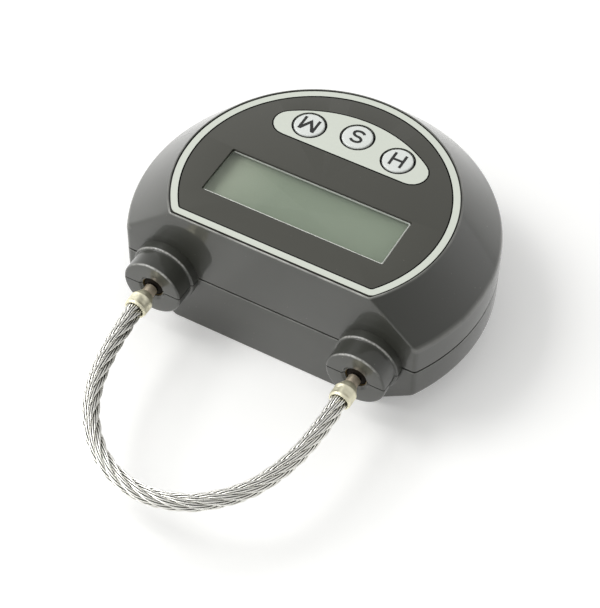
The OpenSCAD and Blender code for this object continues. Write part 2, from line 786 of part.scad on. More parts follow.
// Direction of the route at a point: along Y at both ends, else from one neighbour to the other
function route_dir(p, i) =
    i == 0 ? [0, -1] : i == len(p) - 1 ? [0, 1] :
    (p[i + 1] - p[i - 1]) / norm(p[i + 1] - p[i - 1]);

// Tube of even sides along a flat route at one height
module flat_tube(p, z, r, sides) {
    rings = len(p);
    points = [for (i = [0 : rings - 1]) for (s = [0 : sides - 1])
        let (d = route_dir(p, i), a = 360 * (s + 0.5) / sides)
        [p[i][0] + r * cos(a) * -d[1], p[i][1] + r * cos(a) * d[0], z + r * sin(a)]];
    walls = [for (i = [0 : rings - 2]) for (s = [0 : sides - 1])
        [i * sides + s, i * sides + (s + 1) % sides,
            (i + 1) * sides + (s + 1) % sides, (i + 1) * sides + s]];
    first = [for (s = [sides - 1 : -1 : 0]) s];
    last = [for (s = [0 : sides - 1]) (rings - 1) * sides + s];
    polyhedron(points = points, faces = concat(walls, [first, last]), convexity = 4);
}

module wire_rope() {
    color([0.70, 0.70, 0.70]) flat_tube(rope_route, seam_h, rope_d / 2, rope_sides);
}

module key_cap(i) {
    color([0.88, 0.89, 0.88]) translate([key_x[i], key_ys[i], 0]) rotate_extrude()
        polygon([[0, key_cap_z], [key_flange_d / 2, key_cap_z], [key_flange_d / 2, plate_z],
            [key_d / 2, plate_z], [key_d / 2, key_top - 0.2], [key_d / 2 - 0.2, key_top],
            [0, key_top]]);
}

module key_cap_h() key_cap(0);
module key_cap_s() key_cap(1);
module key_cap_m() key_cap(2);

// The moving button of a key's switch, under the cap
module key_plunger(i) {
    bottom = board_top + switch_h - plunger_well + key_travel + 0.1;
    color([0.20, 0.20, 0.22]) translate([key_x[i], key_ys[i], bottom])
        cylinder(d = plunger_d, h = key_cap_z - bottom);
}

module key_plunger_h() key_plunger(0);
module key_plunger_s() key_plunger(1);
module key_plunger_m() key_plunger(2);

// Bar with a rack under it and a fork that closes round the pin's core
module latch_bar() {
    root = tooth_pitch / 4 + 1.25 * gear_m * tan(gear_angle) - tooth_thin;
    tip = tooth_pitch / 4 - gear_m * tan(gear_angle) - tooth_thin;
    fork_x = fork_tip - fork_l;
    slot_x = collar_x - latch_travel;
    color([0.68, 0.69, 0.72]) translate([0, -latch_y, 0]) difference() {
        union() {
            translate([bar_x, -latch_w / 2, bar_z])
                cube([fork_x - bar_x + eps, latch_w, bar_h]);
            translate([fork_x, -latch_w / 2, seam_h - fork_half_h])
                cube([fork_l, latch_w, 2 * fork_half_h]);
            for (i = [-(rack_teeth - 1) / 2 : (rack_teeth - 1) / 2])
                translate([motor_x + (i - 1) * tooth_pitch - tooth_pitch / 2, pinion_w / 2, rack_z])
                    rotate([90, 0, 0]) linear_extrude(pinion_w)
                        polygon([[-root, 1.25 * gear_m + eps], [-tip, -gear_m], [tip, -gear_m],
                            [root, 1.25 * gear_m + eps]]);
        }
        translate([slot_x, latch_w, seam_h]) rotate([90, 0, 0])
            cylinder(r = core_r + 0.1, h = 2 * latch_w);
        translate([slot_x, -latch_w, seam_h - core_r - 0.1])
            cube([fork_l, 2 * latch_w, 2 * (core_r + 0.1)]);
    }
}

// Half the angle that a pinion tooth fills at a radius, on involute flanks
base_r = pinion_r * cos(gear_angle);
function involute(r) = r <= base_r ? 0 : let (c = base_r / r) tan(acos(c)) - acos(c) * PI / 180;
function half_tooth(r) = 90 / pinion_teeth - tooth_thin / pinion_r * 180 / PI
    + (involute(pinion_r) - involute(r)) * 180 / PI;

module drive_pinion() {
    root_r = pinion_r - 1.25 * gear_m;
    tip_r = pinion_r + gear_m;
    flank = [root_r, base_r, base_r + 0.1, base_r + 0.2, pinion_r, pinion_r + gear_m / 2, tip_r];
    outline = [for (t = [0 : pinion_teeth - 1]) for (side = [1, -1])
        for (k = [0 : len(flank) - 1])
            let (r = flank[side > 0 ? k : len(flank) - 1 - k],
                a = 90 - t * 360 / pinion_teeth + side * half_tooth(r))
            [r * cos(a), r * sin(a)]];
    color([0.85, 0.72, 0.35]) translate([motor_x, -latch_y + pinion_w / 2, pinion_z])
        rotate([90, 0, 0]) difference() {
            linear_extrude(pinion_w) polygon(outline);
            translate([0, 0, -1]) cylinder(r = shaft_d / 2 + seat_gap / 2, h = pinion_w + 2);
        }
}

module output_shaft() {
    front = -latch_y - latch_w / 2 + 0.3;
    color([0.60, 0.60, 0.62]) translate([motor_x, front, pinion_z]) rotate([-90, 0, 0])
        cylinder(d = shaft_d, h = gearbox_y + 2.8 - front);
}

lower_shell();
upper_shell();
face_panel();
display_window();
lcd_glass();
lcd_frame();
zebra_strips();
circuit_board();
switch_housings();
controller_chip();
board_parts();
crystal_can();
charge_socket();
board_screws();
case_screws();
motor_can();
gearbox();
motor_clamp();
clamp_screws();
latch_guide();
battery_cell();
battery_pad();
fixed_bush();
lock_bush();
fixed_pin();
retaining_clip();
fixed_ferrule();
wire_rope();
lock_pin();
free_ferrule();
key_cap_h();
key_cap_s();
key_cap_m();
key_plunger_h();
key_plunger_s();
key_plunger_m();
latch_bar();
drive_pinion();
output_shaft();
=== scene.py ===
# %% [markdown]
# # A timer padlock with a wire rope shackle
#
# This lesson dresses a small digital padlock: a round moulded housing with one flat side, a
# display, three keys, and a shackle of stranded wire rope. The construction comes packed, and
# every visible surface is made here around it, in the same place and at the same size.
# Lengths are in metres in Blender, so sizes that are easier to read in millimetres are
# multiplied by MM.

import json
import math

import bpy
import numpy as np
from mathutils import Matrix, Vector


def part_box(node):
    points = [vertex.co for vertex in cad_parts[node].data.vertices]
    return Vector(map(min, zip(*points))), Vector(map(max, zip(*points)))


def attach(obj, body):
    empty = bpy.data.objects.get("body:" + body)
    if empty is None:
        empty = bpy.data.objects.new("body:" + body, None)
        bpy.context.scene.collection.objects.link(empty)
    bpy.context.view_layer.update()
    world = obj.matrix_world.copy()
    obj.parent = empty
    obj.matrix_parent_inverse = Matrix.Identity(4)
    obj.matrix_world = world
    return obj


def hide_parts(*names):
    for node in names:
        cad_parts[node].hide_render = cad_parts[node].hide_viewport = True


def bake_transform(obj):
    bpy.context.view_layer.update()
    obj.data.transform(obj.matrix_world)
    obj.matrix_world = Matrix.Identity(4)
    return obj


MM = 0.001
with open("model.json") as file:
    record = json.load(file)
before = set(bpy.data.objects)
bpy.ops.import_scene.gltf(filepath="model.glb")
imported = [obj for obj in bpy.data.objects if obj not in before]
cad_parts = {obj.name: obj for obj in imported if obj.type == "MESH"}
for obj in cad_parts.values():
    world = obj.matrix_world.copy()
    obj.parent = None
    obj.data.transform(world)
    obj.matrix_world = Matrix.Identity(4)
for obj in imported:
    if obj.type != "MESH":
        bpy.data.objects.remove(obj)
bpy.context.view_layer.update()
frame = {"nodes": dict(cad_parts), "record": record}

# %% [markdown]
# ## Sizes
#
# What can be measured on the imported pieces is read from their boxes. The rest are the
# housing's own driving sizes, written once.

# %% Read sizes from the frame
upper_low, upper_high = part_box("upper_shell")
panel_low, panel_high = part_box("face_panel")
window_low, window_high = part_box("display_window")
glass_low, glass_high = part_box("lcd_glass")
pin_low, pin_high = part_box("lock_pin")
ferrule_low, ferrule_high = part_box("free_ferrule")

BODY_R = upper_high.x
SEAM_Z = upper_low.z
FACE_Z = upper_high.z
COLLAR_END = -upper_low.y
COLLAR_X = (pin_low.x + pin_high.x) / 2
PIN_R = (pin_high.x - pin_low.x) / 2
FLAT_Y = 15.6 * MM
WALL = 2.0 * MM
CREASE_Z = 17.5 * MM
FACE_R = 23.9 * MM
print("housing radius", round(BODY_R / MM, 2), "seam", round(SEAM_Z / MM, 2), "face", round(FACE_Z / MM, 2))

# %% [markdown]
# ## The camera
#
# The photograph was taken from the shackle side, from about 50 degrees above the table and
# slightly to the right. A long lens at a third of a metre keeps the round face nearly free of
# perspective. The camera is placed by its direction from a point in the housing, and its roll
# is the small tilt of the photograph's horizon.

# %% Place the camera
CAMERA_AZIMUTH = math.radians(28.475)
CAMERA_ELEVATION = math.radians(50.07)
CAMERA_ROLL = math.radians(0.968)
CAMERA_DISTANCE = 326.72 * MM
CAMERA_TARGET = np.array([3.188, -10.519, 10.0]) * MM
CAMERA_LENS = 117.78
SENSOR_WIDTH = 36.0


def camera_axes(azimuth, elevation, roll):
    """Right, up and backward directions of a camera that looks at its target from that side.

    Backward points from the target to the camera. Right is level and square to it, up is
    backward crossed with right, and the roll turns right and up about backward."""
    backward = np.array([
        math.sin(azimuth) * math.cos(elevation),
        -math.cos(azimuth) * math.cos(elevation),
        math.sin(elevation),
    ])
    level_right = np.array([math.cos(azimuth), math.sin(azimuth), 0.0])
    level_up = np.cross(backward, level_right)
    right = math.cos(roll) * level_right + math.sin(roll) * level_up
    up = -math.sin(roll) * level_right + math.cos(roll) * level_up
    return right, up, backward


def add_camera():
    """A camera whose columns are its right, up and backward directions."""
    right, up, backward = camera_axes(CAMERA_AZIMUTH, CAMERA_ELEVATION, CAMERA_ROLL)
    matrix = np.eye(4)
    matrix[:3, 0], matrix[:3, 1], matrix[:3, 2] = right, up, backward
    matrix[:3, 3] = CAMERA_TARGET + CAMERA_DISTANCE * backward
    data = bpy.data.cameras.new("photo_camera")
    data.sensor_width = SENSOR_WIDTH
    data.lens = CAMERA_LENS
    data.clip_start = 0.01
    data.clip_end = 20.0
    camera = bpy.data.objects.new("photo_camera", data)
    camera.matrix_world = Matrix(matrix.tolist())
    bpy.context.scene.collection.objects.link(camera)
    bpy.context.scene.camera = camera
    return camera


camera = add_camera()
print("camera at", [round(v, 4) for v in camera.matrix_world.translation])

# %% [markdown]
# ## Meshes from arrays
#
# Almost every piece is a stack of rings: a ring is a closed row of points, and neighbouring
# rings are joined by four-sided faces. A stack that starts and ends in a single point is a
# closed skin, and a stack whose last ring joins the first is a closed hoop.

# %% Turn rings into meshes


def ring_faces(rings, points, hoop):
    """Four-sided faces between neighbouring rings of a stack, as rows of point numbers."""
    ring = np.arange(rings if hoop else rings - 1)[:, None]
    point = np.arange(points)[None, :]
    after, beside = (ring + 1) % rings, (point + 1) % points
    corners = [ring * points + point, ring * points + beside,
               after * points + beside, after * points + point]
    return np.stack(np.broadcast_arrays(*corners), axis=-1).reshape(-1, 4)


def signed_volume(verts, faces):
    """Six times the volume inside: the sum over the faces' triangles of corner triple products."""
    total = 0.0
    for first, second in ((1, 2), (2, 3)):
        if faces.shape[1] > second:
            a, b, c = verts[faces[:, 0]], verts[faces[:, first]], verts[faces[:, second]]
            total += float(np.einsum("ij,ij->i", a, np.cross(b, c)).sum())
    return total


def stack(rings, hoop=False):
    """Points and faces of a closed skin over rings of shape (ring, point, 3).

    Without hoop, the two ends are closed by fans to the middle of the first and last ring.
    The faces are turned over if the skin would be inside out."""
    count, points, _ = rings.shape
    verts = rings.reshape(-1, 3)
    quads = ring_faces(count, points, hoop)
    fans = np.zeros((0, 3), int)
    if not hoop:
        verts = np.vstack([verts, rings[0].mean(axis=0), rings[-1].mean(axis=0)])
        here = np.arange(points)
        beside = (here + 1) % points
        last = (count - 1) * points
        start = np.stack([beside, here, np.full(points, count * points)], axis=1)
        end = np.stack([last + here, last + beside, np.full(points, count * points + 1)], axis=1)
        fans = np.vstack([start, end])
    if signed_volume(verts, quads) + (signed_volume(verts, fans) if len(fans) else 0.0) < 0:
        quads, fans = quads[:, ::-1], fans[:, ::-1]
    return verts, quads.tolist() + fans.tolist()


def merge(parts):
    """One list of points and faces from several."""
    verts, faces, start = [], [], 0
    for part_verts, part_faces in parts:
        verts.append(part_verts)
        faces += [[start + index for index in face] for face in part_faces]
        start += len(part_verts)
    return np.vstack(verts), faces


def make_piece(name, verts, faces, sharp_degrees=35):
    """A mesh object at the origin, smooth except at edges sharper than the angle."""
    mesh = bpy.data.meshes.new(name)
    mesh.from_pydata(np.asarray(verts).tolist(), [], faces)
    mesh.validate()
    piece = bpy.data.objects.new(name, mesh)
    bpy.context.scene.collection.objects.link(piece)
    soften(piece, sharp_degrees)
    return piece


def soften(piece, sharp_degrees):
    """Smooth shading, with edges sharper than the angle kept sharp."""
    piece.data.shade_smooth()
    piece.data.set_sharp_from_angle(angle=math.radians(sharp_degrees))


# %% [markdown]
# ## Outlines with rounded corners
#
# Nothing that comes out of a mould has a perfectly sharp edge, and the thin highlights on
# those edges are what makes plastic look real. A profile is written as its corner points, and
# each corner gets an arc.

# %% Round the corners of a profile


def rounded(points, radii, steps=6, closed=False):
    """A polyline whose corners are arcs.

    The arc at a corner touches both neighbouring legs at the radius over the tangent of half
    the corner's angle, and its points are spread evenly over the angle between the touching
    points, seen from the arc's middle. A radius of 0 keeps the corner."""
    points = np.asarray(points, float)
    out = []
    for index, (corner, radius) in enumerate(zip(points, radii)):
        if radius <= 0 or (not closed and index in (0, len(points) - 1)):
            out.append(corner[None])
            continue
        before = points[index - 1] - corner
        after = points[(index + 1) % len(points)] - corner
        before, after = before / np.linalg.norm(before), after / np.linalg.norm(after)
        half = math.acos(np.clip(before @ after, -1, 1)) / 2
        reach = radius / math.tan(half)
        bisector = (before + after) / np.linalg.norm(before + after)
        middle = corner + bisector * radius / math.sin(half)
        first, last = corner + before * reach - middle, corner + after * reach - middle
        turn = math.acos(np.clip(first @ last / radius**2, -1, 1))
        share = np.linspace(0, 1, steps + 1)[:, None]
        arc = (np.sin((1 - share) * turn) * first + np.sin(share * turn) * last) / math.sin(turn)
        out.append(middle + arc)
    return np.vstack(out)


def revolve(profile, segments=96, hoop=False):
    """Rings of a profile of (radius, height) turned about Z: point = (r cos a, r sin a, h)."""
    angle = np.linspace(0, 2 * math.pi, segments, endpoint=False)
    radius, height = np.asarray(profile)[:, :1], np.asarray(profile)[:, 1:]
    rings = np.stack([radius * np.cos(angle), radius * np.sin(angle),
                      height * np.ones_like(angle)], axis=-1)
    return stack(rings, hoop)


def along_shackle(part, side):
    """Moves a part made about Z onto a collar's axis, so that its height runs out of the flat
    side: (x, y, h) goes to (side * COLLAR_X + x, -h, SEAM_Z + y)."""
    verts, faces = part
    moved = np.stack([side * COLLAR_X + verts[:, 0], -verts[:, 2], SEAM_Z + verts[:, 1]], axis=1)
    return moved, faces


# %% [markdown]
# ## The wire rope
#
# The shackle is a piece of stainless rope: a core strand with six strands laid round it, each
# of seven wires. The rope lies along the route that the construction has: straight out of
# each ferrule, then round in a half loop. A smooth curve goes through the route's points, and
# every wire is a thin tube on a spiral round a spiral round that curve. The wires turn
# against the strands, so on the outside they lie nearly in line with the rope, as they do on
# ordinary regular-lay rope. Between the wires the strands lie in shade, so each strand has a
# near-black filling that the wires stand out of, and the core strand is a plain near-black
# tube: painted shade between the wires.

# %% Rope route
ROPE_D = 3.0 * MM
ROUTE = np.array([
    (-18.9, -26.2), (-18.6, -29.2), (-18.3, -32.2), (-17.9, -35.2), (-17.3, -38.2), (-16.5, -41.1),
    (-15.4, -44), (-14, -46.7), (-12.3, -49.1), (-10.2, -51.4), (-7.9, -53.3), (-5.2, -54.8),
    (-2.4, -55.7), (0.7, -56.1), (3.7, -55.8), (6.6, -54.9), (9.3, -53.5), (11.6, -51.6),
    (13.7, -49.4), (15.4, -46.9), (16.7, -44.1), (17.6, -41.3), (18.3, -38.3), (18.7, -35.3),
    (18.9, -32.3), (19, -29.2), (18.9, -26.2)]) * MM
ROPE_IN_FERRULE = 0.9 * MM
ROPE_STEPS = 180


def smooth_line(points, steps):
    """Evenly spaced points on a smooth curve through a flat route.

    Each leg is a cubic whose end slopes are half the way from the point before to the point
    after, and the first and last slopes point along Y. The dense curve is then read off at
    even lengths."""
    slopes = np.vstack([[0, points[1, 1] - points[0, 1]], (points[2:] - points[:-2]) / 2,
                        [0, points[-1, 1] - points[-2, 1]]])
    t = np.linspace(0, 1, 40)[None, :, None]
    start, end = points[:-1, None], points[1:, None]
    leave, arrive = slopes[:-1, None], slopes[1:, None]
    dense = ((2 * t**3 - 3 * t**2 + 1) * start + (t**3 - 2 * t**2 + t) * leave
             + (3 * t**2 - 2 * t**3) * end + (t**3 - t**2) * arrive).reshape(-1, 2)
    length = np.concatenate([[0], np.cumsum(np.linalg.norm(np.diff(dense, axis=0), axis=1))])
    even = np.linspace(0, length[-1], steps)
    return np.stack([np.interp(even, length, dense[:, k]) for k in (0, 1)], axis=1), length[-1]


ends_in = np.array([[0, ROPE_IN_FERRULE]])
rope_line, rope_length = smooth_line(
    np.vstack([ROUTE[:1] + ends_in, ROUTE, ROUTE[-1:] + ends_in]), ROPE_STEPS)
print("rope length", round(rope_length / MM, 1), "mm, with", ROPE_IN_FERRULE / MM, "mm in each ferrule")

# %% Rope wires
STRANDS = 6
WIRES = 6
STRAND_R = ROPE_D / 6
WIRE_R = STRAND_R / 3
STRAND_LAY = 19 * MM
WIRE_LAY = 7 * MM
WIRE_SIDES = 8


def unit(vectors):
    """The vectors at length one."""
    return vectors / np.linalg.norm(vectors, axis=-1, keepdims=True)


def tube_rings(line, radius, sides, reference):
    """Rings of a tube along lines of shape (..., step, 3), round in the plane across each line.

    The across direction is the reference with its share along the line taken away."""
    along = unit(np.gradient(line, axis=-2))
    across = unit(reference - (reference * along).sum(-1, keepdims=True) * along)
    third = np.cross(along, across)
    angle = np.linspace(0, 2 * math.pi, sides, endpoint=False)[:, None]
    return line[..., None, :] + radius * (
        np.cos(angle) * across[..., None, :] + np.sin(angle) * third[..., None, :])


def rope_mesh():
    """All wires of the rope and its core strand.

    Along the rope, a strand's angle grows by a full turn each strand lay, and its middle lies
    two strand radii from the rope's. A wire's angle about its strand falls by a full turn
    each wire lay, and its middle lies a little over two wire radii from the strand's, so that
    dark gaps show between the wires."""
    middle = np.column_stack([rope_line, np.full(ROPE_STEPS, SEAM_Z)])
    along = unit(np.gradient(middle, axis=0))
    up = np.tile([0.0, 0.0, 1.0], (ROPE_STEPS, 1))
    side = np.cross(up, along)
    run = np.linspace(0, rope_length, ROPE_STEPS)
    strand = np.arange(STRANDS)[:, None] * 2 * math.pi / STRANDS
    turn = (strand + run * 2 * math.pi / STRAND_LAY)[..., None]
    outward = np.cos(turn) * side + np.sin(turn) * up
    strand_line = middle + 2 * STRAND_R * outward
    strand_along = unit(np.gradient(strand_line, axis=1))
    first = unit(outward - (outward * strand_along).sum(-1, keepdims=True) * strand_along)
    second = np.cross(strand_along, first)
    wire = np.arange(WIRES)[:, None] * 2 * math.pi / WIRES
    spin = (wire - run * 2 * math.pi / WIRE_LAY)[None, ..., None]
    spoke = np.cos(spin) * first[:, None] + np.sin(spin) * second[:, None]
    wire_line = strand_line[:, None] + 2.15 * WIRE_R * spoke
    rings = tube_rings(wire_line, WIRE_R * 0.72, WIRE_SIDES, spoke)
    wires = [stack(rings[s, w]) for s in range(STRANDS) for w in range(WIRES)]
    # Near-black fillings round each strand's middle and the core: painted shade between the wires.
    shade_fillings = tube_rings(strand_line, WIRE_R * 1.9, 10, first)
    core = tube_rings(middle, STRAND_R, 12, up)
    return merge(wires), merge([stack(core)] + [stack(shade_fillings[s]) for s in range(STRANDS)])


wires, shade_fillings = rope_mesh()
rope = make_piece("wire_rope_strands", *merge([wires, shade_fillings]), sharp_degrees=80)
WIRE_FACES = len(wires[1])
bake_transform(rope)
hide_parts("wire_rope")
print("rope:", len(rope.data.polygons), "faces")

# %% [markdown]
# ## D-shaped rings
#
# The housing is round with one flat side, from its foot to the rim round the face. Each level
# of it is the same outline at another size: an arc, a straight side, and a small arc at each
# corner between them. So a whole shell can be written as a list of levels, each with its
# radius, the distance of its flat side, the radius of its corners and its height.

# %% D-shaped outline
ARC_POINTS, CORNER_POINTS, FLAT_POINTS = 168, 9, 48


def d_rings(levels):
    """Rings of a D-shaped outline, one for each level of (radius, flat, corner, height).

    A corner's middle lies a corner radius inside both the circle and the flat side: its
    distance from the axis is radius - corner and its y is corner - flat. The circle is
    followed between the directions of the two corner middles."""
    radius, flat, corner, height = np.asarray(levels, float).T[:, :, None]
    middle_y = corner - flat
    middle_x = np.sqrt((radius - corner) ** 2 - middle_y**2)
    start = np.arctan2(middle_y, middle_x)
    share = np.linspace(0, 1, ARC_POINTS)
    arc = start + share * (math.pi - 2 * start)
    left = math.pi - start + np.linspace(0, 1, CORNER_POINTS)[1:] * (math.pi / 2 + start)
    right = -math.pi / 2 + np.linspace(0, 1, CORNER_POINTS)[:-1] * (math.pi / 2 + start)
    along = np.linspace(-1, 1, FLAT_POINTS)[1:-1] * middle_x
    x = np.hstack([radius * np.cos(arc), -middle_x + corner * np.cos(left), along,
                   middle_x + corner * np.cos(right)])
    y = np.hstack([radius * np.sin(arc), middle_y + corner * np.sin(left),
                   np.broadcast_to(-flat, along.shape), middle_y + corner * np.sin(right)])
    return np.stack([x, y, np.broadcast_to(height, x.shape)], axis=-1)


def box_rings(levels, middle):
    """Rings of a rectangle with round corners, one for each (half width, half length, corner,
    height): the corner's middle is drawn in by its radius, and a quarter turn goes round it."""
    half_w, half_l, corner, height = np.asarray(levels, float).T[:, :, None]
    quarter = np.linspace(0, math.pi / 2, 7)
    angle = np.concatenate([quarter + k * math.pi / 2 for k in range(4)])
    sign_x = np.repeat([1, -1, -1, 1], len(quarter))
    sign_y = np.repeat([1, 1, -1, -1], len(quarter))
    x = middle[0] + sign_x * (half_w - corner) + corner * np.cos(angle)
    y = middle[1] + sign_y * (half_l - corner) + corner * np.sin(angle)
    return np.stack([x, y, np.broadcast_to(height, x.shape)], axis=-1)


def block(half_w, half_l, corner, low, high, middle=(0, 0)):
    """An upright block with round corners, from one height to another."""
    return stack(box_rings([(half_w, half_l, corner, z) for z in (low, high)], middle))


# %% [markdown]
# ## Cutting holes
#
# The window, the keys and the pins need real openings. Each shell is one closed skin, and a
# boolean joins the collars to it and cuts the openings. The collars are split along the seam,
# as the shells are, so each shell gets its own half of each collar.

# %% Join and cut closed skins


def boolean(piece, parts, operation):
    """Joins closed skins to a piece, or cuts them out of it, with an exact boolean."""
    tool = make_piece("tool", *merge(parts))
    step = piece.modifiers.new("join_or_cut", "BOOLEAN")
    step.operation = operation
    step.solver = "EXACT"
    step.use_self = True
    step.object = tool
    graph = bpy.context.evaluated_depsgraph_get()
    made = bpy.data.meshes.new_from_object(piece.evaluated_get(graph))
    piece.modifiers.clear()
    piece.data = made
    bpy.data.objects.remove(tool)
    soften(piece, 35)
    return piece


def taken_apart(piece):
    """The points and faces of a piece, which is then removed."""
    flat = np.zeros(3 * len(piece.data.vertices), np.float32)
    piece.data.vertices.foreach_get("co", flat)
    faces = [list(face.vertices) for face in piece.data.polygons]
    bpy.data.objects.remove(piece)
    return flat.reshape(-1, 3).astype(float), faces


def post(x, y, radius, low, high, segments=64):
    """A plain upright cylinder."""
    verts, faces = revolve([(radius, low), (radius, high)], segments)
    return verts + np.array([x, y, 0]), faces


# %% Collars
COLLAR_R = 5.3 * MM
STEP_R = 5.7 * MM
STEP_END = FLAT_Y + 1.7 * MM
PIN_HOLE_R = PIN_R + 0.15 * MM
BUSH_SEAT_R = PIN_R + 1.12 * MM
COLLAR_CAP = 0.55 * MM
SEAM_SPLIT = 0.18 * MM


def collar(side):
    """A collar: a stepped drum that starts inside the flat wall, with a countersunk hole."""
    start = FLAT_Y - WALL + 0.1 * MM
    outline = rounded(
        np.array([(STEP_R, start), (STEP_R, STEP_END), (COLLAR_R, STEP_END),
                  (COLLAR_R, COLLAR_END), (PIN_HOLE_R + 0.5 * MM, COLLAR_END),
                  (PIN_HOLE_R + 0.1 * MM, COLLAR_END - 0.35 * MM)]),
        np.array([0, 0.3, 0.12, 0.35, 0.1, 0]) * MM)
    return along_shackle(revolve(outline, 120), side)


def half_collars(above):
    """The half of both collars above or below the seam, as one part. The upper half starts a
    little above the seam, which leaves the collars' own seam line."""
    piece = make_piece("collars", *merge([collar(-1), collar(1)]))
    low, high = (SEAM_Z + SEAM_SPLIT, 30 * MM) if above else (-5 * MM, SEAM_Z)
    slab = block(40 * MM, 30 * MM, 1 * MM, low, high)
    return taken_apart(boolean(piece, [slab], "INTERSECT"))


def collar_holes():
    """The pins' holes: the bush's seat behind, and a smaller hole through the front."""
    seat = [(BUSH_SEAT_R, FLAT_Y - WALL - 1 * MM), (BUSH_SEAT_R, COLLAR_END - COLLAR_CAP),
            (PIN_HOLE_R, COLLAR_END - COLLAR_CAP), (PIN_HOLE_R, COLLAR_END + 1 * MM)]
    return [along_shackle(revolve(seat, 72), side) for side in (-1, 1)]


# %% [markdown]
# ## The two shells
#
# A shell's section is written once as its corner points, from the middle of its outside round
# the edge to the middle of its inside. The radius and the flat side are given for each corner
# point, because the cone runs in towards the face while the flat side stays upright, and the
# rounded foot and rim run round both.
#
# Two thin dark lines are gaps and not paint: the one between the film and the rim is the
# room round the film's seat, and the one round the housing is a groove just above the seam.

# %% Upper shell
PANEL_SEAT_R = panel_high.x + 0.2 * MM
PANEL_SEAT_FLAT = -panel_low.y + 0.38 * MM
PLATE_TOP = panel_low.z
PLATE_Z = window_low.z + 0.1 * MM
LIP_W, LIP_H, TRIM_GAP = 0.9 * MM, 1.2 * MM, 0.1 * MM
OUTER_CORNER, SEAT_CORNER, INNER_CORNER = 1.0 * MM, 0.8 * MM, 0.6 * MM
GROOVE_LOW, GROOVE_HIGH, GROOVE_DEPTH = SEAM_Z + 0.2 * MM, SEAM_Z + 0.6 * MM, 0.5 * MM
GROOVE_R, GROOVE_FLAT = BODY_R - GROOVE_DEPTH, FLAT_Y - GROOVE_DEPTH
GROOVE_STEP = 0.02 * MM
INNER_R, INNER_FLAT = BODY_R - WALL, FLAT_Y - WALL
KEY_HOLE_R = 2.8 * MM
KEYS = {name: (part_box("key_cap_" + name)[0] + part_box("key_cap_" + name)[1]) / 2 for name in "hsm"}


def upper_levels():
    """Levels of the upper shell, from the middle of the panel's seat to the plate's inside."""
    rebate = INNER_R + LIP_W + TRIM_GAP, INNER_FLAT + LIP_W + TRIM_GAP
    rebate_top, cone_foot = SEAM_Z + LIP_H + TRIM_GAP, CREASE_Z - 0.75 * MM
    points = [
        (PANEL_SEAT_R, PANEL_SEAT_FLAT, SEAT_CORNER, PLATE_TOP),
        (PANEL_SEAT_R, PANEL_SEAT_FLAT, SEAT_CORNER, FACE_Z),
        (FACE_R, FLAT_Y, OUTER_CORNER, FACE_Z),
        (BODY_R, FLAT_Y, OUTER_CORNER, CREASE_Z),
        (BODY_R, FLAT_Y, OUTER_CORNER, GROOVE_HIGH),
        (GROOVE_R, GROOVE_FLAT, OUTER_CORNER, GROOVE_HIGH),
        (GROOVE_R, GROOVE_FLAT, OUTER_CORNER, SEAM_Z),
        (*rebate, INNER_CORNER, SEAM_Z),
        (*rebate, INNER_CORNER, rebate_top),
        (INNER_R, INNER_FLAT, INNER_CORNER, rebate_top),
        (INNER_R, INNER_FLAT, INNER_CORNER, cone_foot),
        (FACE_R - 0.54 * MM, INNER_FLAT, INNER_CORNER, PLATE_Z),
    ]
    radii = np.array([0, 0.04, 0.14, 1.6, 0.06, 0, 0, 0, 0, 0, 0, 0]) * MM
    return rounded(points, radii, steps=7)


upper_shell = make_piece("upper_shell_moulding", *stack(d_rings(upper_levels())))
boolean(upper_shell, [half_collars(True)], "UNION")

window_middle = ((window_low + window_high) / 2).to_tuple()[:2]
WINDOW_HALF = np.array([16.5, 5.05]) * MM
WINDOW_CORNER, WINDOW_FLANGE, FLANGE_TOP = 0.3 * MM, 1.3 * MM, PLATE_TOP - 0.8 * MM
socket_low, socket_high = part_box("charge_socket")
SOCKET_Z = (socket_low.z + socket_high.z) / 2
SOCKET_HOLE_R = 2.3 * MM


def window_cutters():
    """The window's opening through the plate, and the seat of its flange behind."""
    opening = WINDOW_HALF + TRIM_GAP
    return [
        block(*opening, WINDOW_CORNER, PLATE_Z - MM, FACE_Z + MM, window_middle),
        block(*(opening + WINDOW_FLANGE), WINDOW_CORNER, PLATE_Z - MM, FLANGE_TOP, window_middle)]


def socket_cutter():
    """The charging socket's round hole through the rim, along Y."""
    verts, faces = revolve([(SOCKET_HOLE_R, INNER_R - 2 * MM), (SOCKET_HOLE_R, BODY_R + 2 * MM)], 64)
    return np.stack([verts[:, 0], verts[:, 2], SOCKET_Z - verts[:, 1]], axis=1), faces


key_holes = [post(p.x, p.y, KEY_HOLE_R, PLATE_Z - MM, FACE_Z + MM) for p in KEYS.values()]
opening, flange_seat = window_cutters()
boolean(upper_shell, key_holes + [opening, socket_cutter()] + collar_holes(), "DIFFERENCE")
boolean(upper_shell, [flange_seat], "DIFFERENCE")
print("upper shell:", len(upper_shell.data.polygons), "faces")

# %% Lower shell
FOOT_R = 23.9 * MM
FOOT_CREASE_Z = 6.2 * MM
SCREW_SEAT_Z = 6.5 * MM
SCREW_HOLE_R, SHANK_HOLE_R, BOSS_R = 2.2 * MM, 1.15 * MM, 2.9 * MM
SCREW_RING = INNER_R - 2.4 * MM
SCREW_ANGLES = np.radians([-10, 42.5, 137.5, 190])
SCREWS = np.column_stack([SCREW_RING * np.cos(SCREW_ANGLES), SCREW_RING * np.sin(SCREW_ANGLES)])


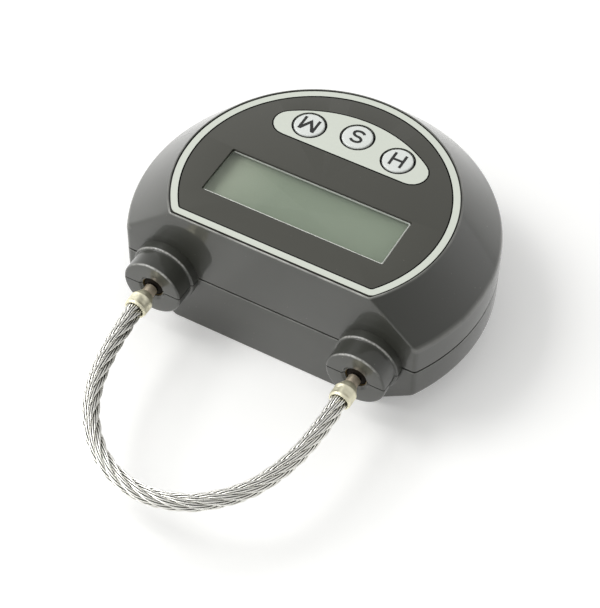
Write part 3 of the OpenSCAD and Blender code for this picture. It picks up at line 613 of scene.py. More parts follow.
def lower_levels():
    """Levels of the lower shell, from the middle of its foot to the middle of its floor.

    The inner cone lies a wall's thickness below the outer one: at any height its radius is
    less by the wall times the cone's length over its height."""
    lip, lip_top = (INNER_R + LIP_W, INNER_FLAT + LIP_W), SEAM_Z + LIP_H
    groove = GROOVE_R + GROOVE_STEP, GROOVE_FLAT + GROOVE_STEP
    lean = (BODY_R - FOOT_R) / FOOT_CREASE_Z
    inset = WALL * math.hypot(1, lean)
    points = [
        (FOOT_R - 4 * MM, FLAT_Y - 4 * MM, OUTER_CORNER, 0),
        (FOOT_R, FLAT_Y, OUTER_CORNER, 0),
        (BODY_R, FLAT_Y, OUTER_CORNER, FOOT_CREASE_Z),
        (BODY_R, FLAT_Y, OUTER_CORNER, GROOVE_LOW),
        (*groove, OUTER_CORNER, GROOVE_LOW),
        (*groove, OUTER_CORNER, SEAM_Z),
        (*lip, INNER_CORNER, SEAM_Z),
        (*lip, INNER_CORNER, lip_top),
        (INNER_R, INNER_FLAT, INNER_CORNER, lip_top),
        (INNER_R, INNER_FLAT, INNER_CORNER, FOOT_CREASE_Z + (inset - WALL) / lean),
        (FOOT_R - inset + WALL * lean, INNER_FLAT, INNER_CORNER, WALL),
    ]
    return rounded(points, np.array([0, 0.4, 1.6, 0.12, 0, 0, 0, 0.15, 0.15, 0, 0]) * MM, steps=7)


def screw_posts(radius, low, high):
    """An upright cylinder at each case screw. The four lie on one circle, at the angles that the
    construction gives."""
    return [post(x, y, radius, low, high) for x, y in SCREWS]


lower_shell = make_piece("lower_shell_moulding", *stack(d_rings(lower_levels())))
boss_limit = BODY_R - 1.52 * MM
keep_in = stack(d_rings([(FOOT_R, INNER_FLAT, MM, WALL / 2),
                         (boss_limit, INNER_FLAT, MM, FOOT_CREASE_Z),
                         (boss_limit, INNER_FLAT, MM, SEAM_Z)]))
bosses = make_piece("bosses", *merge(screw_posts(BOSS_R, WALL / 2, SEAM_Z)))
boss_part = taken_apart(boolean(bosses, [keep_in], "INTERSECT"))
boolean(lower_shell, [half_collars(False), boss_part], "UNION")
screw_holes = screw_posts(SCREW_HOLE_R, -MM, SCREW_SEAT_Z)
shank_holes = screw_posts(SHANK_HOLE_R, SCREW_SEAT_Z - MM, SEAM_Z + 2 * MM)
boolean(lower_shell, screw_holes + collar_holes() + [socket_cutter()], "DIFFERENCE")
boolean(lower_shell, shank_holes, "DIFFERENCE")
print("lower shell:", len(lower_shell.data.polygons), "faces")

for shell, node in ((upper_shell, "upper_shell"), (lower_shell, "lower_shell")):
    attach(shell, "case")
    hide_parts(node)

# %% [markdown]
# ## The face
#
# A dark printed film fills the recess inside the rim. Its white line and the white field
# round the keys are ink on the film. Here each print is a film of its own, a few hundredths
# of a millimetre thick, so its edge stays crisp at any distance. Fine black lines set off the
# white ink: along the inside of the border, round the field, and round each key.

# %% Face panel and its print
PANEL_TOP = panel_high.z
INK = 0.03 * MM
KEYLINE, KEY_RING = 0.24 * MM, 0.2 * MM
LINE_OUTER = np.array([23.44, 14.95, 1.5]) * MM
LINE_INNER = np.array([22.32, 13.82, 0.8]) * MM
FIELD = np.array([22.0, -12.75, 2.75]) * MM
FIELD_MIDDLE_Y = -3.7 * MM


def plate(outline, low, high, edge):
    """A flat D-shaped plate with rounded top edge."""
    radius, flat, corner = outline
    levels = [(radius - edge, flat - edge, corner, low), (radius, flat, corner, low),
              (radius, flat, corner, high - edge),
              (radius - edge * 0.3, flat - edge * 0.3, corner, high - edge * 0.3),
              (radius - edge, flat - edge, corner, high)]
    return stack(d_rings(levels))


face_panel = make_piece(
    "face_film", *plate((panel_high.x, -panel_low.y, 0.9 * MM), PLATE_TOP, PANEL_TOP, 0.06 * MM))
boolean(face_panel, key_holes + [opening], "DIFFERENCE")
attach(face_panel, "case")
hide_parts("face_panel")


def band(outer, inner, top, shift=0.0):
    """A flat ring of ink between two D-shaped outlines."""
    rings = d_rings([(*outer, PANEL_TOP - INK), (*outer, top), (*inner, top),
                     (*inner, PANEL_TOP - INK)])
    rings[..., 1] += shift
    return stack(rings, hoop=True)


border_line = make_piece("border_line_print", *band(LINE_OUTER, LINE_INNER, PANEL_TOP + INK))
field_rings = d_rings([(*FIELD, PANEL_TOP - INK), (*FIELD, PANEL_TOP + INK)])
field_rings[..., 1] += FIELD_MIDDLE_Y
key_field = make_piece("key_field_print", *stack(field_rings))
boolean(key_field, key_holes, "DIFFERENCE")


def key_ring(middle):
    """A thin ring of ink round a key's hole, on top of the field."""
    section = [(KEY_HOLE_R, PANEL_TOP), (KEY_HOLE_R + KEY_RING, PANEL_TOP),
               (KEY_HOLE_R + KEY_RING, PANEL_TOP + 1.5 * INK), (KEY_HOLE_R, PANEL_TOP + 1.5 * INK)]
    verts, faces = revolve(section, 96, hoop=True)
    return verts + np.array([middle.x, middle.y, 0]), faces


line_edge, field_edge = np.array([1, 1, 0.5]) * KEYLINE, np.array([1, 1, 1]) * KEYLINE
keylines = make_piece("keylines_print", *merge([
    band(LINE_INNER, LINE_INNER - line_edge, PANEL_TOP + INK / 2),
    band(FIELD + field_edge, FIELD, PANEL_TOP + INK / 2, FIELD_MIDDLE_Y),
    *[key_ring(middle) for middle in KEYS.values()]]))
for print_piece in (border_line, key_field, keylines):
    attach(print_piece, "case")
print("panel and its print made")

# %% [markdown]
# ## Window and display
#
# The window is a clear moulded block with a flange behind. Its raised part fills the opening
# just below the film. Its rounded edge and the far wall of the block are painted pale and
# opaque, a painted highlight that draws a bright line. Behind it lies the display: two glass
# plates with a grey-green layer between them, blank while the lock is open.

# %% Window and display glass


def window_mesh():
    """The window: a flange, a step up, and a raised part with a rounded upper edge."""
    half_w, half_l = WINDOW_HALF
    top = window_high.z
    outline = rounded(
        [(WINDOW_FLANGE, window_low.z), (WINDOW_FLANGE, FLANGE_TOP), (0, FLANGE_TOP), (0, top),
         (-0.5 * MM, top)], np.array([0, 0.05, 0.1, 0.25, 0]) * MM, steps=6)
    levels = [(half_w + out, half_l + out, WINDOW_CORNER, z) for out, z in outline]
    return stack(box_rings(levels, window_middle))


def window_painted_faces(piece):
    """The faces that get the painted highlight: the raised part's rounded edge on three sides,
    and the far wall of the block, which shows through its top."""
    half_w, half_l = WINDOW_HALF
    out = []
    for face in piece.data.polygons:
        x, y, z = face.center.x - window_middle[0], face.center.y - window_middle[1], face.center.z
        rounded_edge = z > window_high.z - 0.26 * MM and 0.05 < face.normal.z < 0.97
        far_wall = y > half_l - 0.02 * MM and z > PLATE_TOP - 0.7 * MM and abs(face.normal.z) < 0.1
        if (rounded_edge and x > -half_w + 0.5 * MM) or far_wall:
            out.append(face)
    return out


window = make_piece("window_block", *window_mesh())
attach(window, "case")
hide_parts("display_window")


def display_mesh():
    """Two glass plates, the back one wider along Y to carry the contacts."""
    middle = ((glass_low + glass_high) / 2).to_tuple()[:2]
    half_w = (glass_high.x - glass_low.x) / 2
    half_l = (glass_high.y - glass_low.y) / 2
    halfway = (glass_low.z + glass_high.z) / 2
    levels = [(half_w, half_l, 0.2 * MM, glass_low.z), (half_w, half_l, 0.2 * MM, halfway),
              (half_w, half_l - 0.8 * MM, 0.2 * MM, halfway),
              (half_w, half_l - 0.8 * MM, 0.2 * MM, glass_high.z)]
    return stack(box_rings(levels, middle))


display = make_piece("display_plates", *display_mesh())
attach(display, "case")
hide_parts("lcd_glass")

# %% [markdown]
# ## Keys
#
# Each key is a round cap with a flange that stops it under the plate. Its letter is printed
# on it: hours, start and minutes. The letters are generic marks, as ON and OFF are.

# %% Key caps and their marks
KEY_CAP_R = 2.62 * MM
KEY_BODIES = {"h": "key_h", "s": "key_s", "m": "key_m"}
MARK_HALF = 1.5 * MM
STROKE = 0.47 * MM


def key_cap(name):
    """A cap with its flange, turned about the key's axis."""
    low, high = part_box("key_cap_" + name)
    flange_r = (high.x - low.x) / 2
    outline = rounded(
        [(flange_r, low.z), (flange_r, PLATE_Z), (KEY_CAP_R, PLATE_Z), (KEY_CAP_R, high.z),
         (1.2 * MM, high.z)], np.array([0, 0.1, 0, 0.28, 0]) * MM, steps=7)
    verts, faces = revolve(outline, 96)
    middle = KEYS[name]
    return make_piece("key_cap_" + name + "_moulding", verts + np.array([middle.x, middle.y, 0]), faces)


def letter_outline(name):
    """The closed outline of a bold letter in a box of three by three millimetres.

    The S is a stroke of even width along two three-quarter arcs."""
    half, stroke = MARK_HALF, STROKE
    if name == "h":
        stem, bar = half * 0.8, stroke / 2
        quarter = [(stem, half), (stem - stroke, half), (stem - stroke, bar)]
        turned = [(-x, y) for x, y in quarter[::-1]]
        top = quarter + turned
        return np.array(top + [(-x, -y) for x, y in top])
    if name == "m":
        right = [(half, -half), (half, half), (half - stroke * 1.25, half), (0, -half * 0.15)]
        inner = [(-half + stroke, -half), (-half + stroke, half * 0.35), (0, -half * 0.85),
                 (half - stroke, half * 0.35), (half - stroke, -half)]
        left = [(-x, y) for x, y in right[2::-1]]
        return np.array(right + left + inner)
    bend = (half - stroke / 2) / 2
    angle = np.radians(np.linspace(20, 270, 26))
    upper = np.column_stack([1.45 * bend * np.cos(angle), bend + bend * np.sin(angle)])
    line = np.vstack([upper, -upper[-2::-1]])
    along = unit(np.gradient(line, axis=0))
    across = np.column_stack([-along[:, 1], along[:, 0]]) * stroke / 2
    return np.vstack([line + across, (line - across)[::-1]])


def prism(outline, low, high):
    """An outline as an upright block: the two ends are single faces."""
    count = len(outline)
    x, y = outline.T
    if np.sum(x * np.roll(y, -1) - y * np.roll(x, -1)) < 0:
        outline = outline[::-1]
    verts = np.vstack([np.column_stack([outline, np.full(count, z)]) for z in (low, high)])
    sides = [[i, (i + 1) % count, count + (i + 1) % count, count + i] for i in range(count)]
    return verts, sides + [list(range(count))[::-1], list(range(count, 2 * count))]


def key_mark(name):
    """A printed letter as a thin film on the cap, upright for a reader on the far side."""
    middle, top = KEYS[name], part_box("key_cap_" + name)[1].z
    outline = np.array([middle.x, middle.y]) - letter_outline(name)
    return make_piece("key_mark_" + name, *prism(outline, top - INK, top + INK))


caps, marks = {}, {}
for name, body in KEY_BODIES.items():
    caps[name] = key_cap(name)
    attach(caps[name], body)
    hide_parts("key_cap_" + name)
    marks[name] = key_mark(name)
    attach(marks[name], body)
print("keys at", {k: (round(v.x / MM, 1), round(v.y / MM, 1)) for k, v in KEYS.items()})

# %% [markdown]
# ## Ferrules and pins
#
# Each end of the rope is crimped into a pressed ferrule. It has a conical shoulder towards
# the collar, six shallow flats from the crimping tool round its middle, and an open mouth
# that the strands go into. The pin's narrower neck comes out of its shoulder.

# %% Ferrules
NECK_END = -ferrule_high.y
FERRULE_END = -ferrule_low.y
FERRULE_R = (ferrule_high.x - ferrule_low.x) / 2
NECK_R = 1.1 * MM


def ferrule(side):
    """A ferrule about its own axis: the outline turned, with the crimp's flats pressed in.

    The flats draw the radius in by a share of half one plus the cosine of six times the
    angle, which fades out towards both ends of the crimped stretch."""
    mouth_r = ROPE_D / 2 + 0.05 * MM
    shoulder = rounded(
        [(NECK_R, NECK_END + 0.5 * MM), (NECK_R + 0.1 * MM, NECK_END),
         (FERRULE_R - 0.15 * MM, NECK_END + 1.2 * MM), (FERRULE_R, NECK_END + 1.5 * MM),
         (FERRULE_R, NECK_END + 1.7 * MM)], np.array([0, 0.06, 0.3, 0.2, 0]) * MM, steps=5)
    crimped = np.column_stack([
        np.full(12, FERRULE_R), np.linspace(NECK_END + 1.8 * MM, FERRULE_END - 0.5 * MM, 12)])
    mouth = rounded(
        [(FERRULE_R, FERRULE_END - 0.4 * MM), (FERRULE_R - 0.15 * MM, FERRULE_END),
         (mouth_r, FERRULE_END), (mouth_r, FERRULE_END - 1.2 * MM)],
        np.array([0, 0.1, 0.05, 0]) * MM, steps=5)
    outline = np.vstack([shoulder, crimped, mouth])
    verts, faces = revolve(outline, 96)
    angle = np.arctan2(verts[:, 1], verts[:, 0])
    share = (verts[:, 2] - NECK_END) / (FERRULE_END - NECK_END)
    fade = np.clip((share - 0.42) / 0.14, 0, 1) * np.clip((0.92 - share) / 0.14, 0, 1)
    outside = np.hypot(verts[:, 0], verts[:, 1]) > FERRULE_R - 0.1 * MM
    pressed = 1 - 0.11 * fade * outside * (1 + np.cos(6 * angle)) / 2
    verts[:, :2] *= pressed[:, None]
    return along_shackle((verts, faces), side)


ferrules = {}
for side, name, body in ((-1, "fixed", "case"), (1, "free", "free_end")):
    ferrules[name] = make_piece(name + "_ferrule_crimped", *ferrule(side), sharp_degrees=30)
    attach(ferrules[name], body)
    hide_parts(name + "_ferrule")
print("ferrules from", round(NECK_END / MM, 2), "to", round(FERRULE_END / MM, 2), "mm")


# %% [markdown]
# ## Finishes
#
# Every finish is made of nodes that work on the piece's own coordinates, so it stays on the
# piece from any side. Effects that several finishes need are node groups: a fine moulded
# grain, slow changes of tone, dust specks, a painted highlight along an edge and turned or drawn streaks.

# %% Helpers for nodes


def colour(red, green, blue):
    """A screen colour, 0 to 255, as the linear colour that the shader takes: c to the power 2.4
    of (c + 0.055) / 1.055, and c / 12.92 near black."""
    c = np.array([red, green, blue]) / 255
    return tuple(np.where(c > 0.04045, ((c + 0.055) / 1.055) ** 2.4, c / 12.92)) + (1.0,)


def put(tree, kind, inputs=(), **options):
    """Adds a node, sets its options, and feeds its inputs with sockets or plain values."""
    made = tree.nodes.new("ShaderNode" + kind)
    for option, value in options.items():
        setattr(made, option, value)
    for socket, value in dict(inputs).items():
        if isinstance(value, bpy.types.NodeSocket):
            tree.links.new(value, made.inputs[socket])
        else:
            made.inputs[socket].default_value = value
    return made


def new_group(name, inputs, outputs):
    """A node group with named sockets: each is a name and a kind, Float, Color or Vector."""
    tree = bpy.data.node_groups.new(name, "ShaderNodeTree")
    for direction, sockets in (("INPUT", inputs), ("OUTPUT", outputs)):
        for socket, kind in sockets.items():
            tree.interface.new_socket(name=socket, in_out=direction,
                                      socket_type="NodeSocket" + kind)
    return tree, tree.nodes.new("NodeGroupInput").outputs, tree.nodes.new("NodeGroupOutput").inputs


def use(tree, group, inputs):
    """Places a node group in a material with its own values, and gives its outputs."""
    made = tree.nodes.new("ShaderNodeGroup")
    made.node_tree = group
    for socket, value in inputs.items():
        if isinstance(value, bpy.types.NodeSocket):
            tree.links.new(value, made.inputs[socket])
        else:
            made.inputs[socket].default_value = value
    return made.outputs


def maths(tree, operation, first, second=0.0, clamp=False):
    """One step of arithmetic."""
    return put(tree, "Math", {0: first, 1: second}, operation=operation, use_clamp=clamp).outputs[0]


def blend_numbers(tree, share, first, second):
    """A mix of two numbers by a share from 0 to 1."""
    return put(tree, "Mix", {0: share, 2: first, 3: second}, data_type="FLOAT").outputs[0]


def blend_colours(tree, share, first, second):
    """A mix of two colours by a share from 0 to 1."""
    return put(tree, "Mix", {0: share, 6: first, 7: second}, data_type="RGBA").outputs[2]


# %% Node groups


def grain_group():
    """Moulded grain. Height is fine noise; roughness is a base plus slow noise times a spread."""
    tree, given, made = new_group(
        "moulded_grain", {"Grain": "Float", "Roughness": "Float", "Spread": "Float"},
        {"Height": "Float", "Roughness": "Float"})
    place = put(tree, "TexCoord").outputs["Object"]
    fine = put(tree, "TexNoise", {"Vector": place, "Scale": given["Grain"], "Detail": 3.0,
                                  "Roughness": 0.6})
    slow_scale = maths(tree, "MULTIPLY", given["Grain"], 0.06)
    slow = put(tree, "TexNoise", {"Vector": place, "Scale": slow_scale, "Detail": 4.0})
    centred = maths(tree, "SUBTRACT", slow.outputs[0], 0.5)
    spread = maths(tree, "MULTIPLY", centred, given["Spread"])
    tree.links.new(fine.outputs[0], made["Height"])
    tree.links.new(maths(tree, "ADD", spread, given["Roughness"]), made["Roughness"])
    return tree


def tone_group():
    """Slow changes of tone: the colour times one plus (noise - half) times a strength."""
    tree, given, made = new_group(
        "tone_variation", {"Color": "Color", "Scale": "Float", "Strength": "Float"},
        {"Color": "Color"})
    place = put(tree, "TexCoord").outputs["Object"]
    noise = put(tree, "TexNoise", {"Vector": place, "Scale": given["Scale"], "Detail": 5.0})
    shift = maths(tree, "MULTIPLY", maths(tree, "SUBTRACT", noise.outputs[0], 0.5),
                  given["Strength"])
    factor = maths(tree, "ADD", shift, 1.0)
    scaled = put(tree, "VectorMath", {0: given["Color"], 1: factor}, operation="MULTIPLY")
    tree.links.new(scaled.outputs[0], made["Color"])
    return tree


def speck_group():
    """Dust: where the distance to scattered points is small, and noise lets only some show."""
    tree, given, made = new_group(
        "dust_specks", {"Color": "Color", "Dust": "Color", "Scale": "Float", "Amount": "Float"},
        {"Color": "Color", "Mask": "Float"})
    place = put(tree, "TexCoord").outputs["Object"]
    cells = put(tree, "TexVoronoi", {"Vector": place, "Scale": given["Scale"]})
    near = put(tree, "MapRange", {0: cells.outputs["Distance"], 1: 0.06, 2: 0.10, 3: 1.0, 4: 0.0})
    patch = put(tree, "TexNoise", {"Vector": place, "Scale": maths(tree, "MULTIPLY", given["Scale"], 0.35)})
    some = put(tree, "MapRange", {0: patch.outputs[0], 1: 0.52, 2: 0.66, 3: 0.0, 4: 1.0})
    mask = maths(tree, "MULTIPLY", maths(tree, "MULTIPLY", near.outputs[0], some.outputs[0]),
                 given["Amount"], clamp=True)
    tree.links.new(blend_colours(tree, mask, given["Color"], given["Dust"]), made["Color"])
    tree.links.new(mask, made["Mask"])
    return tree


def highlight_group():
    """A painted highlight on a round edge: full where a point is at the edge's radius and height,
    and falling to none at the width, broken up by noise."""
    tree, given, made = new_group(
        "painted_edge_highlight", {"Vector": "Vector", "Radius": "Float", "Flat": "Float", "Height": "Float",
                      "Width": "Float", "Noise Scale": "Float"}, {"Mask": "Float"})
    place = given["Vector"]
    axes = put(tree, "SeparateXYZ", {0: place}).outputs
    level = put(tree, "CombineXYZ", {0: axes[0], 1: axes[1], 2: 0.0})
    radius = put(tree, "VectorMath", {0: level.outputs[0]}, operation="LENGTH").outputs["Value"]
    outside_round = maths(tree, "SUBTRACT", radius, given["Radius"])
    outside_flat = maths(tree, "SUBTRACT", maths(tree, "MULTIPLY", axes[1], -1.0), given["Flat"])
    outside = maths(tree, "MAXIMUM", outside_round, outside_flat)
    above = maths(tree, "SUBTRACT", axes[2], given["Height"])
    away = put(tree, "CombineXYZ", {0: outside, 1: above, 2: 0.0})
    distance = put(tree, "VectorMath", {0: away.outputs[0]}, operation="LENGTH").outputs["Value"]
    share = maths(tree, "DIVIDE", distance, given["Width"])
    edge = maths(tree, "SUBTRACT", 1.0, share, clamp=True)
    noise = put(tree, "TexNoise", {"Vector": place, "Scale": given["Noise Scale"], "Detail": 6.0})
    broken = put(tree, "MapRange", {0: noise.outputs[0], 1: 0.3, 2: 0.65, 3: 0.25, 4: 1.0})
    tree.links.new(maths(tree, "MULTIPLY", edge, broken.outputs[0]), made["Mask"])
    return tree


def streak_group():
    """Streaks of a drawn, turned or ground metal: noise stretched by the scale along each axis."""
    tree, given, made = new_group(
        "metal_streaks", {"Scale": "Vector", "Roughness": "Float", "Spread": "Float"},
        {"Height": "Float", "Roughness": "Float"})
    place = put(tree, "TexCoord").outputs["Object"]
    stretched = put(tree, "VectorMath", {0: place, 1: given["Scale"]}, operation="MULTIPLY")
    noise = put(tree, "TexNoise", {"Vector": stretched.outputs[0], "Scale": 1.0, "Detail": 4.0})
    spread = maths(tree, "MULTIPLY", maths(tree, "SUBTRACT", noise.outputs[0], 0.5), given["Spread"])
    tree.links.new(noise.outputs[0], made["Height"])
    tree.links.new(maths(tree, "ADD", spread, given["Roughness"]), made["Roughness"])
    return tree


GRAIN, TONE, SPECKS, HIGHLIGHT_GROUP, STREAKS = (
    grain_group(), tone_group(), speck_group(), highlight_group(), streak_group())
print("node groups:", [group.name for group in (GRAIN, TONE, SPECKS, HIGHLIGHT_GROUP, STREAKS)])

# %% Base of a finish


def new_finish(name, **plain):
    """A material, its node tree and its shader, with plain values on the shader's sockets."""
    material = bpy.data.materials.new(name)
    material.use_nodes = True
    shader = material.node_tree.nodes["Principled BSDF"]
    for socket, value in plain.items():
        shader.inputs[socket.replace("_", " ")].default_value = value
    return material, material.node_tree, shader


def feed(tree, shader, **sockets):
    """Feeds the shader's sockets from node outputs."""
    for socket, value in sockets.items():
        tree.links.new(value, shader.inputs[socket.replace("_", " ")])


def bump(tree, height, distance, strength=1.0):
    """A bump of a real height in metres."""
    return put(tree, "Bump", {"Height": height, "Distance": distance, "Strength": strength}).outputs[0]


def plastic(name, rgb, roughness, spread=0.08, grain=2600.0, depth=0.006 * MM, tone=0.10,
            dust=0.0, **plain):
    """A moulded plastic or rubber: tone, grain and a little dust in the given amounts."""
    material, tree, shader = new_finish(name, **plain)
    toned = use(tree, TONE, {"Color": colour(*rgb), "Scale": 90.0, "Strength": tone})
    dusty = use(tree, SPECKS, {"Color": toned["Color"], "Dust": colour(196, 192, 180),
                               "Scale": 800.0, "Amount": dust})
    surface = use(tree, GRAIN, {"Grain": grain, "Roughness": roughness, "Spread": spread})
    feed(tree, shader, Base_Color=dusty["Color"], Roughness=surface["Roughness"],
         Normal=bump(tree, surface["Height"], depth))
    return material, tree, shader, dusty["Color"], surface["Roughness"]


def metal(name, rgb, roughness, spread=0.12, scale=(900.0, 900.0, 900.0), depth=0.004 * MM,
          tone=0.12, metallic=1.0, **plain):
    """A metal with streaks along the axis whose scale is small."""
    material, tree, shader = new_finish(name, Metallic=metallic, **plain)
    toned = use(tree, TONE, {"Color": colour(*rgb), "Scale": 160.0, "Strength": tone})
    surface = use(tree, STREAKS, {"Scale": scale, "Roughness": roughness, "Spread": spread})
    feed(tree, shader, Base_Color=toned["Color"], Roughness=surface["Roughness"],
         Normal=bump(tree, surface["Height"], depth))
    return material


# %% [markdown]
# ## The finishes of this lock
#
# The housing is dark grey moulding with a fine grain. A thin smooth skin over the grain
# mirrors the collars in the wall. The rim, the crease, the seam and the upper arcs of the
# collars' edges are painted paler: painted highlights where the edges catch the light. The
# window is clear, and the display behind it is grey-green. The metals are drawn wire, pressed
# ferrules and turned pins. What is inside gets its own finishes too, because the housing can be opened.

# %% Coordinates about a collar's axis


def collar_place(tree):
    """Places as seen from the nearer collar: across the axis and up from it, and how far out
    along it from the middle of the lock."""
    axes = put(tree, "SeparateXYZ", {0: put(tree, "TexCoord").outputs["Object"]}).outputs
    across = maths(tree, "SUBTRACT", maths(tree, "ABSOLUTE", axes[0]), COLLAR_X)
    up = maths(tree, "SUBTRACT", axes[2], SEAM_Z)
    out = maths(tree, "MULTIPLY", axes[1], -1.0)
    return put(tree, "CombineXYZ", {0: across, 1: up, 2: out}).outputs[0], up, out


# %% Housing plastic
housing, tree, shader, housing_colour, housing_rough = plastic(
    "housing_plastic", (49, 50, 44), 0.42, spread=0.10, grain=2400.0, depth=0.006 * MM,
    tone=0.10, dust=0.12, Specular_IOR_Level=0.5, Coat_Weight=0.8, Coat_Roughness=0.07)
here = put(tree, "TexCoord").outputs["Object"]
near_collar, above_seam, outwards = collar_place(tree)
NO_FLAT, EDGE_IN, COLLAR_HIGHLIGHT = 1.0, 0.1 * MM, (0.26 * MM, 1800.0)


def highlight_mask(vector, radius, flat, height, width, scale):
    """The painted highlight along an edge at a radius and height, seen in the given coordinates.
    A round edge with no flat side gets one that is out of reach."""
    return use(tree, HIGHLIGHT_GROUP, {"Vector": vector, "Radius": radius, "Flat": flat, "Height": height,
                            "Width": width, "Noise Scale": scale})["Mask"]


# Painted highlights: the housing is mixed towards pale grey along the rim, the crease, the collars' front
# edges and the seam's lower edge, where the edges catch the light.
rim = highlight_mask(here, FACE_R - EDGE_IN, FLAT_Y - EDGE_IN, FACE_Z, 0.35 * MM, 260.0)
crease = highlight_mask(here, BODY_R - 0.15 * MM, NO_FLAT, CREASE_Z, 0.8 * MM, 200.0)
collar_highlight = maths(
    tree, "MAXIMUM", highlight_mask(near_collar, STEP_R - EDGE_IN, NO_FLAT, STEP_END - EDGE_IN, *COLLAR_HIGHLIGHT),
    highlight_mask(near_collar, COLLAR_R - EDGE_IN, NO_FLAT, COLLAR_END - EDGE_IN, *COLLAR_HIGHLIGHT))
seam_highlight = highlight_mask(here, BODY_R, FLAT_Y, GROOVE_LOW, 0.24 * MM, 400.0)
# The rim's painted highlight is strongest on the flat side, and the collars' painted highlight shows only
# on their upper arcs, where the light falls.
highlight_flat_share = put(tree, "MapRange", {0: outwards, 1: 13 * MM, 2: 15 * MM, 3: 0.3, 4: 0.9}).outputs[0]
highlight_top_share = put(tree, "MapRange", {0: above_seam, 1: 2.6 * MM, 2: 4.6 * MM, 3: 0.0, 4: 0.9}).outputs[0]
painted_highlight = maths(tree, "MAXIMUM", maths(tree, "MULTIPLY", rim, highlight_flat_share),
             maths(tree, "MAXIMUM", maths(tree, "MULTIPLY", crease, 0.22),
                   maths(tree, "MULTIPLY", collar_highlight, highlight_top_share)))
painted_highlight = maths(tree, "MAXIMUM", painted_highlight, maths(tree, "MULTIPLY", seam_highlight, 0.35))
# Pale grey painted highlight, with the roughness a little lower there.
feed(tree, shader, Base_Color=blend_colours(tree, painted_highlight, housing_colour, colour(200, 200, 194)),
     Roughness=maths(tree, "SUBTRACT", housing_rough, maths(tree, "MULTIPLY", painted_highlight, 0.15)))

# %% Film, print, keys and inner plastics
film, white_ink, mark_ink, black_ink, key_plastic = (
    plastic("dark_film", (74, 74, 68), 0.30, spread=0.05, grain=1500.0, depth=0.0015 * MM,
            tone=0.05, dust=0.08, Specular_IOR_Level=0.4)[0],
    plastic("white_ink", (212, 217, 206), 0.45, spread=0.1, depth=0.004 * MM, tone=0.05)[0],
    plastic("dark_ink", (30, 31, 30), 0.5, spread=0.1, depth=0.003 * MM, tone=0.1)[0],
    plastic("keyline_ink", (8, 8, 8), 0.7, spread=0.1, depth=0.003 * MM, tone=0.1,
            Specular_IOR_Level=0.08)[0],
    plastic("silver_white_plastic", (222, 226, 222), 0.38, spread=0.1, grain=1800.0,
            depth=0.004 * MM, tone=0.05)[0])
finishes = {
    "white_plastic": plastic("acetal", (232, 232, 226), 0.5, tone=0.06)[0],
    "black_plastic": plastic("inner_black", (46, 46, 46), 0.55, tone=0.15)[0],
    "pink_rubber": plastic("strip_rubber", (216, 178, 182), 0.7, tone=0.08)[0],
    "ceramic_parts": plastic("ceramic", (176, 158, 128), 0.6, tone=0.25)[0],
    "plated_steel": metal("plated_steel", (212, 213, 216), 0.28),
    "brass_parts": metal("brass", (128, 112, 80), 0.5, scale=(2600.0, 260.0, 2600.0)),
    "cell_foil": metal("foil", (204, 206, 210), 0.34, scale=(420.0, 420.0, 420.0),
                       depth=0.05 * MM),
    "pin_steel": metal("turned_steel", (216, 215, 210), 0.42, scale=(300.0, 4200.0, 300.0),
                       depth=0.003 * MM),
    "rope_steel": metal("drawn_wire", (252, 251, 245), 0.3, spread=0.2,
                        scale=(700.0, 700.0, 700.0), depth=0.003 * MM, tone=0.14),
    "ferrule_metal": metal("pressed_ferrule", (242, 238, 214), 0.55, spread=0.2,
                           scale=(500.0, 500.0, 500.0), depth=0.012 * MM, tone=0.15),
}
# Near-black finish for the strand fillings and core: painted shade between the wires.
strand_shade_filling = plastic("strand_shade_filling", (14, 13, 12), 0.8, tone=0.3, Specular_IOR_Level=0.1)[0]
SHOULDER = COLLAR_END + 0.05 * MM


def shade_and_tint_pins(material):
    """The pins' necks, out past the collars, are a warmer and paler colour. Inside the collars'
    mouths the pins are painted dark and rougher, as painted shade, fading out further in."""
    tree = material.node_tree
    shader = tree.nodes["Principled BSDF"]
    _, _, out = collar_place(tree)
    neck = maths(tree, "GREATER_THAN", out, SHOULDER)
    mouth_shade = put(tree, "MapRange", {0: out, 1: SHOULDER - 7.05 * MM, 2: SHOULDER - 0.65 * MM,
                                   3: 0.0, 4: 1.0}, interpolation_type="SMOOTHSTEP").outputs[0]
    # Painted shade: darkest just inside the collar's mouth, fading inwards, none on the neck.
    dark = maths(tree, "MULTIPLY", mouth_shade, maths(tree, "SUBTRACT", 1.0, neck))
    bright = shader.inputs["Base Color"].links[0].from_socket
    even = shader.inputs["Roughness"].links[0].from_socket
    warm_neck = blend_colours(tree, neck, bright, colour(240, 226, 204))
    feed(tree, shader, Base_Color=blend_colours(tree, dark, warm_neck, colour(40, 36, 32)),
         Roughness=blend_numbers(tree, dark, even, 0.7))


shade_and_tint_pins(finishes["pin_steel"])

# %% Solder-masked board with copper tracks
board_green, tree, shader, board_colour, _ = plastic(
    "board_green", (28, 92, 56), 0.35, spread=0.08, tone=0.1, Specular_IOR_Level=0.5)
place = put(tree, "TexCoord").outputs["Object"]
tracks = put(tree, "TexBrick", {"Vector": place, "Scale": 260.0, "Mortar Size": 0.09,
                                "Color1": (0, 0, 0, 1), "Color2": (0, 0, 0, 1),
                                "Mortar": (1, 1, 1, 1)})
gate = put(tree, "TexNoise", {"Vector": place, "Scale": 120.0})
gated = maths(tree, "MULTIPLY", tracks.outputs["Fac"],
              put(tree, "MapRange", {0: gate.outputs[0], 1: 0.45, 2: 0.5, 3: 0.0, 4: 0.7}).outputs[0])
feed(tree, shader, Base_Color=blend_colours(tree, gated, board_colour, colour(58, 138, 84)))
finishes["green_board"] = board_green
